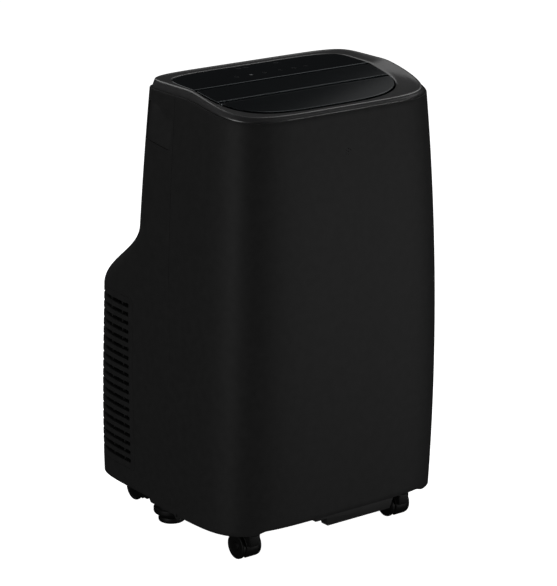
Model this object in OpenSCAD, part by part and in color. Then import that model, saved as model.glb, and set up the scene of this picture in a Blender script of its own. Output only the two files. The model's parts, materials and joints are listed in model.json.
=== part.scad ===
// Portable air conditioner on casters.
// Millimetres, +Z up, front towards -Y. Origin: on the floor, under the middle of the case.

/* [Case] */
// Overall width, at the widest level of the case
body_w = 412; // [396:1:430]
// Overall depth, front cover to lower rear wall
body_d = 395; // [385:1:405]
// Overall height, floor to the crest of the top rim
body_h = 700; // [690:1:715]
// Height of the lower edge of the covers
skirt_z = 57; // [55:1:60]
// Wall thickness of the covers
wall = 2.8; // [2.4:0.1:3.2]
// Lean of each side, widest level to top
side_lean = 17; // [12:1:20]
// Bow of the front, middle to top
front_bow = 11; // [6:1:14]
// Where the front cover meets the rear cover
seam_y = -25; // [-28:1:-22]

/* [Rear shoulder] */
// Start of the sloping shoulder above the lower rear
shoulder_z = 361; // [357:1:374]
// Height over which the shoulder runs in
shoulder_h = 117; // [100:1:121]
// Rear wall just above the shoulder
upper_rear_y = 85; // [82:1:88]
// Rear wall at the top edge
top_rear_y = 70; // [68:1:73]

/* [Top] */
// Drop of the top edge, rear to front
edge_drop = 19; // [15:1:22]
// Height of the rim above the top edge, at the rear
rim_rise = 12.5; // [11:0.5:14]
// Height of the rim above the top edge, at the front
rim_rise_front = 6.5; // [6:0.5:8]
// Front edge of the control panel
panel_front_y = -33; // [-36:1:-30]
// Half the width of the louvre opening at the panel
mouth_half_w = 161; // [156:1:163]
// Depth of the louvre opening
mouth_d = 118; // [112:1:122]
// Line between the rear and the front louvre
louvre_split_y = -85; // [-88:1:-82]
// Radius of the rolled rear edge of each louvre
barrel_r = 5.5; // [5.2:0.1:5.8]

/* [Casters] */
// Radius of a caster wheel
wheel_r = 20; // [18:0.5:21]
// Distance of each front swivel from the middle plane
caster_x = 142; // [136:1:146]
// Distance of each rear swivel from the middle plane
rear_caster_x = 130; // [124:1:142]
// Distance of each swivel from the origin, front and back
caster_y = 145; // [140:1:148]
// Offset of the wheels behind the swivel
caster_trail = 17; // [15:0.5:18]

/* [Air path] */
// Radius of the socket that takes the exhaust hose
socket_r = 74; // [70:0.5:76]
// Middle of the exhaust socket, across
socket_x = 60; // [56:1:62]
// Middle of the exhaust socket, height
socket_z = 250; // [246:1:256]
// Number of slots in the corner grille
slot_count = 19; // [15:1:19]
// Height of one slot
slot_h = 6.6; // [5:0.1:7.5]
// Slot to slot distance
slot_pitch = 13.76; // [12:0.01:15]
// Number of side to side vanes in the outlet
vane_count = 6; // [6:1:6]
// Vane to vane distance
vane_pitch = 44; // [40:1:44]

/* [Hidden] */
$fn = 48;

// Case profile
half_w_max = body_w / 2;
front_max_y = -body_d / 2;
lower_rear_y = body_d / 2;
widest_z = 220;
foremost_z = 340;
profile_z = 660;
corner_front = 5.05;
corner_rear = 6.6;
foot_corner_rear = 8.4;
square_z = 400;
rear_edge_z = body_h - rim_rise;
front_edge_z = rear_edge_z - edge_drop;
edge_fall_start_y = -42;
edge_fall_end_y = -192;

// Top surface
panel_z = rear_edge_z + 6.5;
panel_rise = 3;
panel_d = 84;
louvre_fall = 17;
louvre_curl = 5;
mouth_corner = 3.6;
panel_corner = 6;

function smooth(t) = let (u = min(max(t, 0), 1)) u * u * (3 - 2 * u);
function half_w(z) = half_w_max - side_lean * pow((z - widest_z) / (profile_z - widest_z), 2);
function front_y(z) = front_max_y + front_bow * pow((z - foremost_z) / (profile_z - foremost_z), 2);
function upper_y(z) = upper_rear_y + (top_rear_y - upper_rear_y)
    * min(max((z - shoulder_z - shoulder_h) / (rear_edge_z - shoulder_z - shoulder_h), 0), 1);
function rear_y(z) = let (s = smooth((z - shoulder_z) / shoulder_h))
    lower_rear_y * (1 - s) + upper_y(z) * s;

// The rear corners get squarer from square_z down to the skirt
function squareness(z) = smooth((square_z - z) / (square_z - skirt_z));
function rear_n(z) = corner_rear + (foot_corner_rear - corner_rear) * squareness(z);

// One point of a rounded plan outline about the seam line
function rounded(a, hw, to_front, to_rear, n_front, n_rear) =
    let (c = cos(a), s = sin(a), n = s < 0 ? n_front : n_rear, reach = s < 0 ? to_front : to_rear)
    [hw * sign(c) * pow(abs(c), 2 / n), reach * sign(s) * pow(abs(s), 2 / n)];
function case_pt(a, z, inset) =
    let (p = rounded(a, half_w(z) - inset, seam_y - front_y(z) - inset,
                     rear_y(z) - seam_y - inset, corner_front, rear_n(z)))
    [p[0], seam_y + p[1]];
function edge_z(y) = front_edge_z + edge_drop
    * smooth((y - edge_fall_end_y) / (edge_fall_start_y - edge_fall_end_y));
function edge_at(a) = edge_z(case_pt(a, rear_edge_z - 6, 0)[1]);
function rise_at(y) = rim_rise_front + (rim_rise - rim_rise_front)
    * min(max((y - front_max_y) / (-50 - front_max_y), 0), 1);
function mouth_pt(a, inset) =
    let (p = rounded(a, mouth_half_w - inset, mouth_d - inset, panel_d - inset,
                     mouth_corner, panel_corner))
    [p[0], panel_front_y + p[1]];
// Case skin on the rear half: half width at a depth, and depth at a place across
function side_x(y, z) = half_w(z) * pow(1 - pow((y - seam_y) / (rear_y(z) - seam_y), rear_n(z)), 1 / rear_n(z));
function rear_at(x, z) = seam_y + (rear_y(z) - seam_y) * pow(1 - pow(abs(x) / half_w(z), rear_n(z)), 1 / rear_n(z));
function top_z(y) = y > panel_front_y
    ? panel_z + panel_rise * (y - panel_front_y) / panel_d
    : let (d = (panel_front_y - y) / mouth_d) panel_z - louvre_fall * d - louvre_curl * d * d;

// Part of the case skin as a closed shell, from angle a0 to a1 about the seam line and up through the given levels;
// without a z_high its last level is the slanting upper edge
module case_shell(a0, a1, steps, marks, thick, z_high = -1) {
    row = steps + 1;
    levels = len(marks);
    layer = row * (levels + 1);
    pts = [for (skin = [0, 1]) for (i = [0:levels]) for (j = [0:steps])
        let (a = a0 + (a1 - a0) * j / steps, top = z_high > 0 ? z_high : edge_at(a),
             z = i < levels ? marks[i] : top, p = case_pt(a, z, skin * thick))
        [p[0], p[1], z]];
    skin_faces = [for (i = [0:levels - 1]) for (j = [0:steps - 1])
        let (q = i * row + j)
        each [[q, q + row, q + row + 1], [q, q + row + 1, q + 1],
              [layer + q, layer + q + row + 1, layer + q + row],
              [layer + q, layer + q + 1, layer + q + row + 1]]];
    edge_faces = [for (j = [0:steps - 1])
        let (t = levels * row + j)
        each [[j, j + 1, layer + j + 1], [j, layer + j + 1, layer + j],
              [t, layer + t + 1, t + 1], [t, layer + t, layer + t + 1]]];
    end_faces = [for (i = [0:levels - 1])
        let (q = i * row, e = i * row + steps)
        each [[q, layer + q, layer + q + row], [q, layer + q + row, q + row],
              [e, e + row, layer + e + row], [e, layer + e + row, layer + e]]];
    polyhedron(concat(pts), concat(skin_faces, edge_faces, end_faces), convexity = 6);
}

// Flat outline of the case at one level
module case_outline(z, inset, steps = 72) {
    polygon([for (j = [0:steps - 1]) case_pt(360 * j / steps, z, inset)]);
}

module x_cyl(r, x0, x1, y, z) {
    translate([x0, y, z]) rotate([0, 90, 0]) cylinder(r = r, h = x1 - x0);
}

module y_cyl(r, y0, y1, x, z) {
    translate([x, y0, z]) rotate([-90, 0, 0]) cylinder(r = r, h = y1 - y0);
}

module block(lo, hi) {
    translate(lo) cube(hi - lo);
}

// Round tube along a chain of points, with ball corners a little wider than the tube
elbow_extra = 0.3;
module pipe(pts, r) {
    for (i = [0:len(pts) - 2]) {
        d = pts[i + 1] - pts[i];
        translate(pts[i]) rotate([0, acos(d[2] / norm(d)), atan2(d[1], d[0])])
            cylinder(r = r, h = norm(d), $fn = 60);
    }
    for (i = [1:len(pts) - 2]) translate(pts[i]) sphere(r = r + elbow_extra, $fn = 60);
}

// ---------------------------------------------------------------- casing

grille_side_y = 69;
grille_rear_x = -45;
grille_lo_z = 88;
grille_t = 3.4;
grille_steps = 16;
slat_deep = 8.3;
grille_hi_z = 363;
slot_lo_z = grille_lo_z + 10.4;
slot_end_y = grille_side_y + 11;
slot_end_x = grille_rear_x - 10;
handle_lo_z = 604;
handle_hi_z = 668;
handle_front_y = -18;
handle_rear_y = 40;
filter_half_w = 130;
filter_lo_z = 492;
filter_hi_z = 664;
filter_tilt = atan((upper_rear_y - top_rear_y) / (rear_edge_z - shoulder_z - shoulder_h));
hook_x = 146;
drain_x = 60;
drain_z = 106;
gland_x = 140;
gland_z = 100;
screw_spots = [[-150, 74], [150, 74], [-168, 486], [168, 486], [-150, 672], [150, 672]];
screw_head_r = 4;
screw_shank_r = 1.9;

tab_x = half_w(skirt_z);
tab_lo_z = 49.5;
lobe_at = [-40, 51];
lobe_r = 6.5;
lobe_hole_r = 2;
rear_marks = [skirt_z, 100, 150, 200, 250, 300, 340, for (z = [shoulder_z - 4:11:shoulder_z + shoulder_h + 4]) z, 560, 630];

module front_cover() {
    color("#1f1f20") resize([0, 0, 0]) difference() {
        union() {
            case_shell(180, 360, 36, [skirt_z, 130, 210, 290, 370, 450, 530, 600], wall);
            for (s = [-1, 1]) scale([s, 1, 1]) {
                block([tab_x - wall, lobe_at[0] - 4, tab_lo_z], [tab_x, seam_y - 0.3, skirt_z + 1]);
                x_cyl(lobe_r, tab_x - wall, tab_x, lobe_at[0], lobe_at[1]);
            }
        }
        x_cyl(lobe_hole_r, -half_w_max, half_w_max, lobe_at[0], lobe_at[1], $fn = 24);
        for (i = [0:5])
            y_cyl(0.8, front_max_y - 1, front_max_y + 30, 4 * cos(60 * i), 610 + 4 * sin(60 * i), $fn = 12);
        y_cyl(0.8, front_max_y - 1, front_max_y + 30, 0, 610, $fn = 12);
    }
}

module rear_cover() {
    color("#1b1b1c") resize([0, 0, 0]) difference() {
        union() {
            case_shell(0, 180, 40, rear_marks, wall);
            for (s = [-1, 1]) scale([s, 1, 1])
                block([tab_x - wall, seam_y + 0.3, tab_lo_z], [tab_x, 30, skirt_z + 1]);
            for (p = screw_spots) if (p[1] > 100) y_cyl(7, rear_at(p[0], p[1]) - 14, rear_at(p[0], p[1]) - 1.5, p[0], p[1], $fn = 20);
        }
        block([-half_w_max - 9, grille_side_y, grille_lo_z], [grille_rear_x, lower_rear_y + 9, grille_hi_z]);
        for (s = [-1, 1]) scale([s, 1, 1])
            block([half_w_max - 40, handle_front_y, handle_lo_z], [half_w_max, handle_rear_y, handle_hi_z]);
        block([-filter_half_w - 5, 50, filter_lo_z - 7], [filter_half_w + 5, 110, filter_hi_z + 6]);
        y_cyl(socket_r + 13, lower_rear_y - 20, lower_rear_y + 5, socket_x, socket_z, $fn = 48);
        block([drain_x - 34, lower_rear_y - 20, drain_z - 19], [drain_x + 34, lower_rear_y + 5, drain_z + 19]);
        y_cyl(13, lower_rear_y - 30, lower_rear_y + 5, gland_x, gland_z, $fn = 32);
        for (z = [520, 640]) y_cyl(2.8, 40, 120, hook_x, z, $fn = 16);
        for (p = screw_spots) {
            y_cyl(screw_head_r + 0.5, rear_at(p[0], p[1]) - 4.4, lower_rear_y + 5, p[0], p[1], $fn = 16);
            y_cyl(screw_shank_r + 0.2, 30, lower_rear_y, p[0], p[1], $fn = 16);
        }
    }
}

// Rim: a closed band round the top, section points listed from the skirt over the crest to the mouth
module top_ring() {
    steps = 80;
    section = 8;
    pts = [for (j = [0:steps - 1])
        let (a = 360 * j / steps, low = edge_at(a) + 0.8, y0 = case_pt(a, low, 3)[1],
             crest = low - 0.8 + rise_at(y0), m = mouth_pt(a, 0), lip = top_z(m[1]),
             base_in = case_pt(a, low, 8), base_out = case_pt(a, low, 2.5),
             high_out = case_pt(a, low, 6.2), high_mid = case_pt(a, low, 8),
             high_in = case_pt(a, low, 10), under = case_pt(a, low, 10.5))
        each [[base_in[0], base_in[1], low - 7], [base_out[0], base_out[1], low],
              [high_out[0], high_out[1], crest - 1.3], [high_mid[0], high_mid[1], crest],
              [high_in[0], high_in[1], crest - 0.9], [m[0], m[1], lip],
              [m[0], m[1], lip - 1.8], [under[0], under[1], min(crest - 3.4, lip + 4)]]];
    faces = [for (j = [0:steps - 1]) for (k = [0:section - 1])
        let (q = j * section + k, w = j * section + (k + 1) % section,
             n = ((j + 1) % steps) * section)
        each [[q, w, n + (k + 1) % section], [q, n + (k + 1) % section, n + k]]];
    color("#3a3b3d") polyhedron(pts, faces, convexity = 6);
}

panel_gap = 0.6;
panel_t = 2.5;

module control_panel() {
    steps = 40;
    tilt = atan(panel_rise / panel_d);
    color("#0c0c0d") translate([0, panel_front_y, panel_z]) rotate([tilt, 0, 0])
        translate([0, 0, -panel_t]) linear_extrude(panel_t)
        polygon([for (j = [0:steps])
            let (p = mouth_pt(180 * j / steps, panel_gap)) [p[0], p[1] - panel_front_y]]);
}

module display_board() {
    color("darkgreen") block([-118, -12, panel_z - 8.4], [118, 38, panel_z - 6.8]);
    color("darkgreen") for (x = [-100, 0, 100]) for (y = [-8, 34])
        translate([x, y, panel_z - 6.9]) cylinder(r = 2.5, h = top_z(y) - panel_t - panel_z + 6.7, $fn = 24);
}

// Corner grille: a strip of the case skin round the left rear corner, slotted, with ribs behind
module corner_grille() {
    color("#19191a") resize([0, 0, 0]) union() {
        difference() {
            case_shell(90.2, 179.4, grille_steps, [grille_lo_z + 0.5, 160, 230, 300, shoulder_z], grille_t,
                       grille_hi_z - 0.5);
            block([-half_w_max - 9, seam_y - 9, 60], [grille_rear_x + 60, grille_side_y + 0.5, 400]);
            block([grille_rear_x - 0.5, 60, 60], [50, 220, 400]);
            block([-half_w_max - 9, slot_end_y, slot_lo_z],
                  [slot_end_x, lower_rear_y + 9, slot_lo_z + slot_pitch * (slot_count - 1) + slot_h]);
        }
        for (y = [grille_side_y + 32, grille_side_y + 64])
            block([-side_x(y, grille_hi_z) + 2, y, grille_lo_z + 4], [-side_x(y, 230) + 9, y + 2.4, grille_hi_z - 4]);
        for (x = [-140, -98])
            block([x, rear_at(x, 230) - 9, grille_lo_z + 4], [x + 2.4, rear_at(x, 230) - 2, grille_hi_z - 4]);
    }
    color("#19191a") for (i = [0:slot_count - 2])
        grille_slat(slot_lo_z + slot_pitch * i + slot_h);
}

// One flat slat between two slots, its ends sunk in the grille's frame
module grille_slat(z0) {
    h = slot_pitch - slot_h;
    skin = [for (side = [0, 1]) [for (j = [0:grille_steps])
        case_pt(90.68 + 84.76 * j / grille_steps, z0 + h / 2, 0.1 + side * slat_deep)]];
    translate([0, 0, z0]) linear_extrude(h)
        polygon(concat(skin[0], [for (j = [grille_steps:-1:0]) skin[1][j]]));
}

// Grip pocket: a scoop, deepest under its upper lip
module handle_pocket(side) {
    mouth_x = half_w(636) - 7;
    deep = 15.5;
    shell_t = 2.2;
    color("#1d1d1e") scale([side, 1, 1]) difference() {
        translate([0, handle_rear_y + 4, 0]) rotate([90, 0, 0]) linear_extrude(handle_rear_y - handle_front_y + 8)
            polygon([[mouth_x, handle_lo_z - 4], [mouth_x - 4, handle_lo_z - 4],
                     [mouth_x - deep - shell_t, handle_hi_z - 18], [mouth_x - deep - shell_t, handle_hi_z + 2],
                     [mouth_x - 4.5, handle_hi_z + 2], [mouth_x - 1.5, handle_hi_z - 4],
                     [mouth_x, handle_lo_z + 30]]);
        translate([0, handle_rear_y, 0]) rotate([90, 0, 0]) linear_extrude(handle_rear_y - handle_front_y)
            polygon([[mouth_x + 9, handle_lo_z - 1.5], [mouth_x - 1.2, handle_lo_z],
                     [mouth_x - deep, handle_hi_z - 18], [mouth_x - deep, handle_hi_z - 1],
                     [mouth_x + 9, handle_hi_z - 1]]);
    }
}

module handle_left() { handle_pocket(-1); }
module handle_right() { handle_pocket(1); }

module case_screws() {
    color("silver") for (p = screw_spots) {
        face = rear_at(p[0], p[1]) - 1.6;
        y_cyl(screw_head_r, face - 2.4, face, p[0], p[1], $fn = 32);
        y_cyl(screw_shank_r, face - 16, face - 2, p[0], p[1], $fn = 24);
    }
}

module room_sensor() {
    color("darkgreen") block([-14, front_y(610) + 13, 596], [14, front_y(610) + 14.6, 624]);
    color("black") y_cyl(7, front_y(610) + wall + 1, front_y(610) + 13, 0, 610, $fn = 32);
}

// ---------------------------------------------------------------- louvres and vanes

hinge_rear_y = panel_front_y - 0.8 - barrel_r;
hinge_front_y = louvre_split_y - 1 - barrel_r;
hinge_rear_z = top_z(hinge_rear_y) - barrel_r;
hinge_front_z = top_z(hinge_front_y) - barrel_r;
louvre_t = 2.6;
barrel_half = mouth_half_w - 5;
pivot_r = 1.75;
run_gap = 0.06;
duct_in_x = mouth_half_w + 0.5;
duct_t = 3;
duct_front_y = -134;
duct_rear_y = -20;
crank = 16;
crank_back = 44.5;
crank_pt = [crank * sin(crank_back), -crank * cos(crank_back)];
crank_pin_r = 1.5;
arm_x = [151, 154];
link_x = [147.5, 150.5];
motor_y = -62;
motor_z = 652;
motor_shaft_r = 2.5;
vane_z = 640;
vane_pin_r = 2;
vane_crank = 16;
tie_y = [-55.5, -52.5];

// Curved leaf with a rolled rear edge, cut to the outline of the mouth
module louvre(hy, hz, front) {
    n = 12;
    top = [for (i = [0:n]) let (y = hy + (front - hy) * i / n) [y, top_z(y)]];
    low = [for (i = [n:-1:0]) let (y = hy + (front - hy) * i / n) [y, top_z(y) - louvre_t]];
    intersection() {
        union() {
            translate([-mouth_half_w, 0, 0]) rotate([90, 0, 90]) linear_extrude(2 * mouth_half_w)
                polygon(concat(top, low));
            x_cyl(barrel_r, -barrel_half, barrel_half, hy, hz);
        }
        linear_extrude(body_h) polygon([for (j = [0:72])
            let (p = mouth_pt(180 + 180 * j / 72, 1)) [p[0], p[1]]]);
    }
    for (s = [-1, 1]) scale([s, 1, 1]) x_cyl(pivot_r, barrel_half - 1, duct_in_x + duct_t, hy, hz);
}

// Crank plate from a hinge line, with its pin pointing inwards
module crank_arm(hy, hz) {
    tip = [hy, hz] + crank_pt;
    side_plate(arm_x) {
        strip([hy, hz], tip, 2.6);
        translate([hy, hz]) circle(r = 3.4);
        translate(tip) circle(r = 3.4);
    }
    x_cyl(crank_pin_r, link_x[0] - 1, arm_x[0] + 0.6, tip[0], tip[1]);
}

module louvre_rear() {
    color("#26292d") louvre(hinge_rear_y, hinge_rear_z, louvre_split_y);
    color("#26292d") crank_arm(hinge_rear_y, hinge_rear_z);
}

module louvre_front() {
    color("#26292d") louvre(hinge_front_y, hinge_front_z, panel_front_y - mouth_d + 1);
    color("#26292d") crank_arm(hinge_front_y, hinge_front_z);
}

module swing_arm() {
    color("ivory") crank_arm(motor_y, motor_z);
    color("ivory") x_cyl(motor_shaft_r, arm_x[0] + 0.6, duct_in_x + duct_t + 0.5, motor_y, motor_z);
}

// Flat plate between two places across, its outline drawn in the depth and height plane
module side_plate(span) {
    translate([span[0], 0, 0]) rotate([90, 0, 90]) linear_extrude(span[1] - span[0]) union() children();
}

// Straight strip between two points of that outline, with its half width
module strip(from, to, half) {
    d = to - from;
    translate(from) rotate(atan2(d[1], d[0])) translate([0, -half]) square([norm(d), 2 * half]);
}

module louvre_link() {
    p_rear = [hinge_rear_y, hinge_rear_z] + crank_pt;
    p_front = [hinge_front_y, hinge_front_z] + crank_pt;
    p_motor = [motor_y, motor_z] + crank_pt;
    color("ivory") difference() {
        side_plate(link_x) {
            strip(p_front, p_rear, 3);
            strip(p_motor, (p_front + p_rear) / 2, 3);
            for (p = [p_rear, p_front, p_motor]) translate(p) circle(r = 3.6);
        }
        for (p = [p_rear, p_front, p_motor])
            x_cyl(crank_pin_r + run_gap, link_x[0] - 1, link_x[1] + 1, p[0], p[1]);
    }
}

module swing_motor() {
    out = duct_in_x + duct_t;
    color("lightgray") difference() {
        union() {
            x_cyl(12, out + 0.2, out + 13, motor_y, motor_z);
            block([out + 0.2, motor_y - 17, motor_z - 3], [out + 1.4, motor_y + 17, motor_z + 3]);
        }
        x_cyl(motor_shaft_r + run_gap, out - 1, out + 2, motor_y, motor_z);
    }
}

// Outlet duct: open box above the upper blower, with pivot holes
module outlet_duct() {
    top_pts = [for (i = [0:12]) let (y = duct_front_y - duct_t + (duct_rear_y + 2 * duct_t - duct_front_y) * i / 12)
        [y, top_z(min(y, panel_front_y)) - 2.1]];
    color("#2b2c2e") difference() {
        union() {
            for (x = [-duct_in_x - duct_t, duct_in_x]) translate([x, 0, 0]) rotate([90, 0, 90])
                linear_extrude(duct_t) polygon(concat([[duct_rear_y + duct_t, 612], [duct_front_y - duct_t, 612]], top_pts));
            block([-duct_in_x - 1, duct_front_y - duct_t, 612], [duct_in_x + 1, duct_front_y, 668]);
            block([-duct_in_x - 1, duct_rear_y, 612], [duct_in_x + 1, duct_rear_y + duct_t, 684]);
            block([-duct_in_x - duct_t, duct_front_y - duct_t, 609], [duct_in_x + duct_t, duct_rear_y + duct_t, 612]);
        }
        block([5, duct_front_y + 12, 600], [78, -28, 620]);
        for (h = [[hinge_rear_y, hinge_rear_z], [hinge_front_y, hinge_front_z]])
            x_cyl(pivot_r + run_gap, -duct_in_x - 9, duct_in_x + 9, h[0], h[1]);
        x_cyl(motor_shaft_r + run_gap, 100, duct_in_x + 9, motor_y, motor_z);
        for (i = [1:vane_count])
            y_cyl(vane_pin_r + run_gap, duct_front_y - 9, duct_rear_y + 9, vane_x(i), vane_z);
    }
}

function vane_x(i) = vane_pitch * (i - (vane_count + 1) / 2);

module vane(i) {
    x = vane_x(i);
    color("#303236") {
        block([x - 1, duct_front_y + 1.5, vane_z - 10], [x + 1, duct_rear_y - 1.5, vane_z + 16]);
        y_cyl(vane_pin_r, duct_front_y - duct_t, duct_front_y + 6, x, vane_z);
        y_cyl(vane_pin_r, duct_rear_y - 6, duct_rear_y + duct_t, x, vane_z);
        block([x - 1, tie_y[0] - 5, vane_z - vane_crank - 2.6], [x + 1, tie_y[0] - 0.5, vane_z - 9]);
        y_cyl(crank_pin_r, tie_y[0] - 4, tie_y[1] + 1, x, vane_z - vane_crank);
    }
}

module vane_1() { vane(1); }
module vane_2() { vane(2); }
module vane_3() { vane(3); }
module vane_4() { vane(4); }
module vane_5() { vane(5); }
module vane_6() { vane(6); }

module vane_tie_bar() {
    z = vane_z - vane_crank;
    color("ivory") difference() {
        block([vane_x(1) - 5, tie_y[0], z - 3.4], [vane_x(vane_count) + 5, tie_y[1], z + 3.4]);
        for (i = [1:vane_count]) y_cyl(crank_pin_r + run_gap, tie_y[0] - 1, tie_y[1] + 1, vane_x(i), z);
    }
}

// ---------------------------------------------------------------- rear fittings

socket_y = 160;
socket_t = 2.5;
duct_half = 80;
hinge_in = 5;
hinge_up = 6;

// Local frame of the upper rear wall: y = 0 on its outer face, z along its slope
module on_upper_wall() {
    translate([0, upper_y(filter_lo_z), filter_lo_z]) rotate([filter_tilt, 0, 0]) children();
}

module filter_frame() {
    h = filter_hi_z - filter_lo_z;
    w = filter_half_w;
    color("#202021") on_upper_wall() difference() {
        block([-w - 4.5, -14, -4.5], [w + 4.5, -0.6, h + 5]);
        block([-w - 0.3, -12, -1.2], [w + 0.3, 9, h + 0.3]);
        block([-w + 8, -20, 8], [w - 8, 9, h - 8]);
        x_cyl(2 + run_gap, -w - 9, w + 9, -hinge_in, hinge_up);
    }
}

module filter_cover() {
    h = filter_hi_z - filter_lo_z;
    w = filter_half_w - 0.5;
    color("#1b1b1c") on_upper_wall() {
        difference() {
            block([-w, -7, 2], [w, 0, h - 1.2]);
            block([-w + 2, -9, 4], [w - 2, -2.2, h - 3.2]);
            for (z = [14:9.6:h - 16]) for (x = [-w + 10, -38, 46 - 3])
                block([x, -9, z], [x + (x > 0 ? w - 53 : (x < -50 ? w - 51 : 78)), 3, z + 5.4]);
        }
        for (s = [-1, 1]) scale([s, 1, 1]) x_cyl(2, w - 4, filter_half_w + 4, -hinge_in, hinge_up);
    }
}

module filter_mesh() {
    h = filter_hi_z - filter_lo_z;
    w = filter_half_w - 4;
    color("#55595c") on_upper_wall() {
        block([-w, -4.6, 9], [w, -4, h - 6]);
        for (x = [-w, -w / 3 - 1, w / 3 - 1, w - 2]) block([x, -5.6, 9], [x + 2, -3, h - 6]);
        for (z = [9, 60, 112, h - 8]) block([-w, -5.6, z], [w, -3, z + 2]);
    }
}

module exhaust_socket() {
    color("#222223") difference() {
        union() {
            y_cyl(socket_r + 12, lower_rear_y - wall, lower_rear_y, socket_x, socket_z, $fn = 96);
            y_cyl(socket_r + socket_t, socket_y, lower_rear_y, socket_x, socket_z, $fn = 96);
            block([socket_x - duct_half, socket_y - 2, socket_z - duct_half],
                  [socket_x + duct_half, socket_y + 1, socket_z + duct_half]);
        }
        y_cyl(socket_r, socket_y - 9, lower_rear_y + 9, socket_x, socket_z, $fn = 96);
    }
}

module exhaust_duct() {
    y_in = socket_y - 20;
    color("lightgray") difference() {
        block([socket_x - duct_half, y_in, socket_z - duct_half], [socket_x + duct_half, socket_y - 2, socket_z + duct_half]);
        block([socket_x - duct_half + 3, y_in + 2.5, socket_z - duct_half + 3],
              [socket_x + duct_half - 3, socket_y + 9, socket_z + duct_half - 3]);
        block([lower_fan_x[0] + 3, y_in - 9, 243], [lower_fan_x[1] - 3, y_in + 9, 325]);
    }
}

module drain_spigot() {
    color("#242425") difference() {
        union() {
            difference() {
                block([drain_x - 33, lower_rear_y - 20, drain_z - 18], [drain_x + 33, lower_rear_y - 0.6, drain_z + 18]);
                block([drain_x - 31, lower_rear_y - 18, drain_z - 16], [drain_x + 31, lower_rear_y + 9, drain_z + 16]);
            }
            y_cyl(7, lower_rear_y - 34, lower_rear_y - 4, drain_x, drain_z);
        }
        y_cyl(5, lower_rear_y - 40, lower_rear_y, drain_x, drain_z);
    }
}

module drain_plug() {
    color("#101010") {
        y_cyl(5 - run_gap, lower_rear_y - 14, lower_rear_y - 3, drain_x, drain_z);
        y_cyl(6.5, lower_rear_y - 3.8, lower_rear_y - 1.8, drain_x, drain_z);
        block([drain_x - 1.2, lower_rear_y - 2, drain_z - 5], [drain_x + 1.2, lower_rear_y, drain_z + 5]);
    }
}

module cord_gland() {
    face = lower_rear_y - 3;
    color("#101010") difference() {
        union() {
            y_cyl(12, face - 10, face, gland_x, gland_z);
            y_cyl(15, face - 10, face - 7, gland_x, gland_z);
            y_cyl(7.5, face - 26, face - 9, gland_x, gland_z);
        }
        y_cyl(4.5, face - 30, face + 9, gland_x, gland_z);
    }
}

module cord_hooks() {
    color("#1d1d1e") for (z = [520, 640]) {
        up = z > 580 ? 1 : -1;
        y0 = rear_at(hook_x - 7, z - 8) + 0.3;
        y_cyl(7, y0, y0 + 18, hook_x, z);
        y_cyl(2.5, y0 - 9, y0, hook_x, z);
        block([hook_x - 7, y0 + 17, z - (up < 0 ? 30 : 8)], [hook_x + 7, y0 + 22, z + (up < 0 ? 8 : 30)]);
    }
}

// ---------------------------------------------------------------- base and casters

tray_z = 52;
tray_t = 4;
tray_hi_z = 80;
floor_z = tray_z + tray_t + 2;
bowl_at = [-175.5, 14];
bowl_r = 25;
bowl_lo_z = 30;
bowl_t = 3;
cap_r = 20.5;
stem_r = 5.5;
stem_top_z = 70;
boss_r = 15;
boss_lo_z = 50;
fork_top_z = 49;
axle_r = 3;
web_half = 7.5;
wheel_in = 8.5;
wheel_out = 17.5;
fender_r = 24.5;
comp_at = [-105, -95];
comp_feet_r = 72;
coil_lo_z = 82;

module at_casters() {
    for (side = [-1, 1]) translate([side * caster_x, -caster_y, 0]) children();
    for (side = [-1, 1]) translate([side * rear_caster_x, caster_y, 0]) children();
}

module base_tray() {
    color("#161617") difference() {
        union() {
            translate([0, 0, tray_z]) linear_extrude(tray_t) case_outline(60, 12);
            translate([0, 0, tray_z + tray_t - 0.5]) linear_extrude(floor_z - tray_z - tray_t + 0.5) case_outline(60, wall + 0.6);
            translate([0, 0, tray_z + tray_t]) linear_extrude(tray_hi_z - tray_z - tray_t) difference() {
                case_outline(60, wall + 1.5);
                case_outline(60, wall + 4.5);
            }
            block([-178, 80, tray_z + tray_t], [-172, 146, coil_lo_z]);
            block([-150, 158, tray_z + tray_t], [-50, 164, coil_lo_z]);
            at_casters() translate([0, 0, boss_lo_z]) cylinder(r = boss_r, h = 24);
            translate([bowl_at[0], bowl_at[1], bowl_lo_z]) cylinder(r = bowl_r, h = 54 - bowl_lo_z);
            translate([0, -172, 0]) rotate([90, 0, 0]) linear_extrude(16)
                polygon([[-40, 57], [-32, 41], [86, 41], [94, 57]]);
            translate([-186, 62, 44]) cube([6, 20, 9]);
            for (a = [90, 210, 330]) translate([comp_at[0] + comp_feet_r * cos(a), comp_at[1] + comp_feet_r * sin(a), tray_z + 1])
                cylinder(r = 4, h = 23);
        }
        at_casters() translate([0, 0, boss_lo_z - 9]) cylinder(r = stem_r + 0.1, h = stem_top_z - boss_lo_z + 10);
        translate([bowl_at[0], bowl_at[1], bowl_lo_z + bowl_t]) cylinder(r = bowl_r - bowl_t, h = 60);
        translate([bowl_at[0], bowl_at[1], bowl_lo_z - 9]) cylinder(r = 9, h = 30);
        translate([-187, 74, 48]) rotate([0, 90, 0]) cylinder(r = 2.2, h = 9, $fn = 24);
        for (p = screw_spots) y_cyl(screw_shank_r + 0.1, 150, 210, p[0], p[1]);
        y_cyl(52, slinger_y - 8, slinger_y + 12, slinger_at[0], slinger_at[1]);
    }
}

module sump_cap() {
    color("#121213") translate([bowl_at[0], bowl_at[1], bowl_lo_z - 9]) difference() {
        union() {
            cylinder(r = cap_r, h = 8.6);
            cylinder(r = 8.9, h = 15);
        }
        translate([0, 0, -1]) difference() {
            cylinder(r = cap_r - 3, h = 5);
            translate([-cap_r, -2.5, 0]) cube([2 * cap_r, 5, 9]);
        }
    }
}

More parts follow.
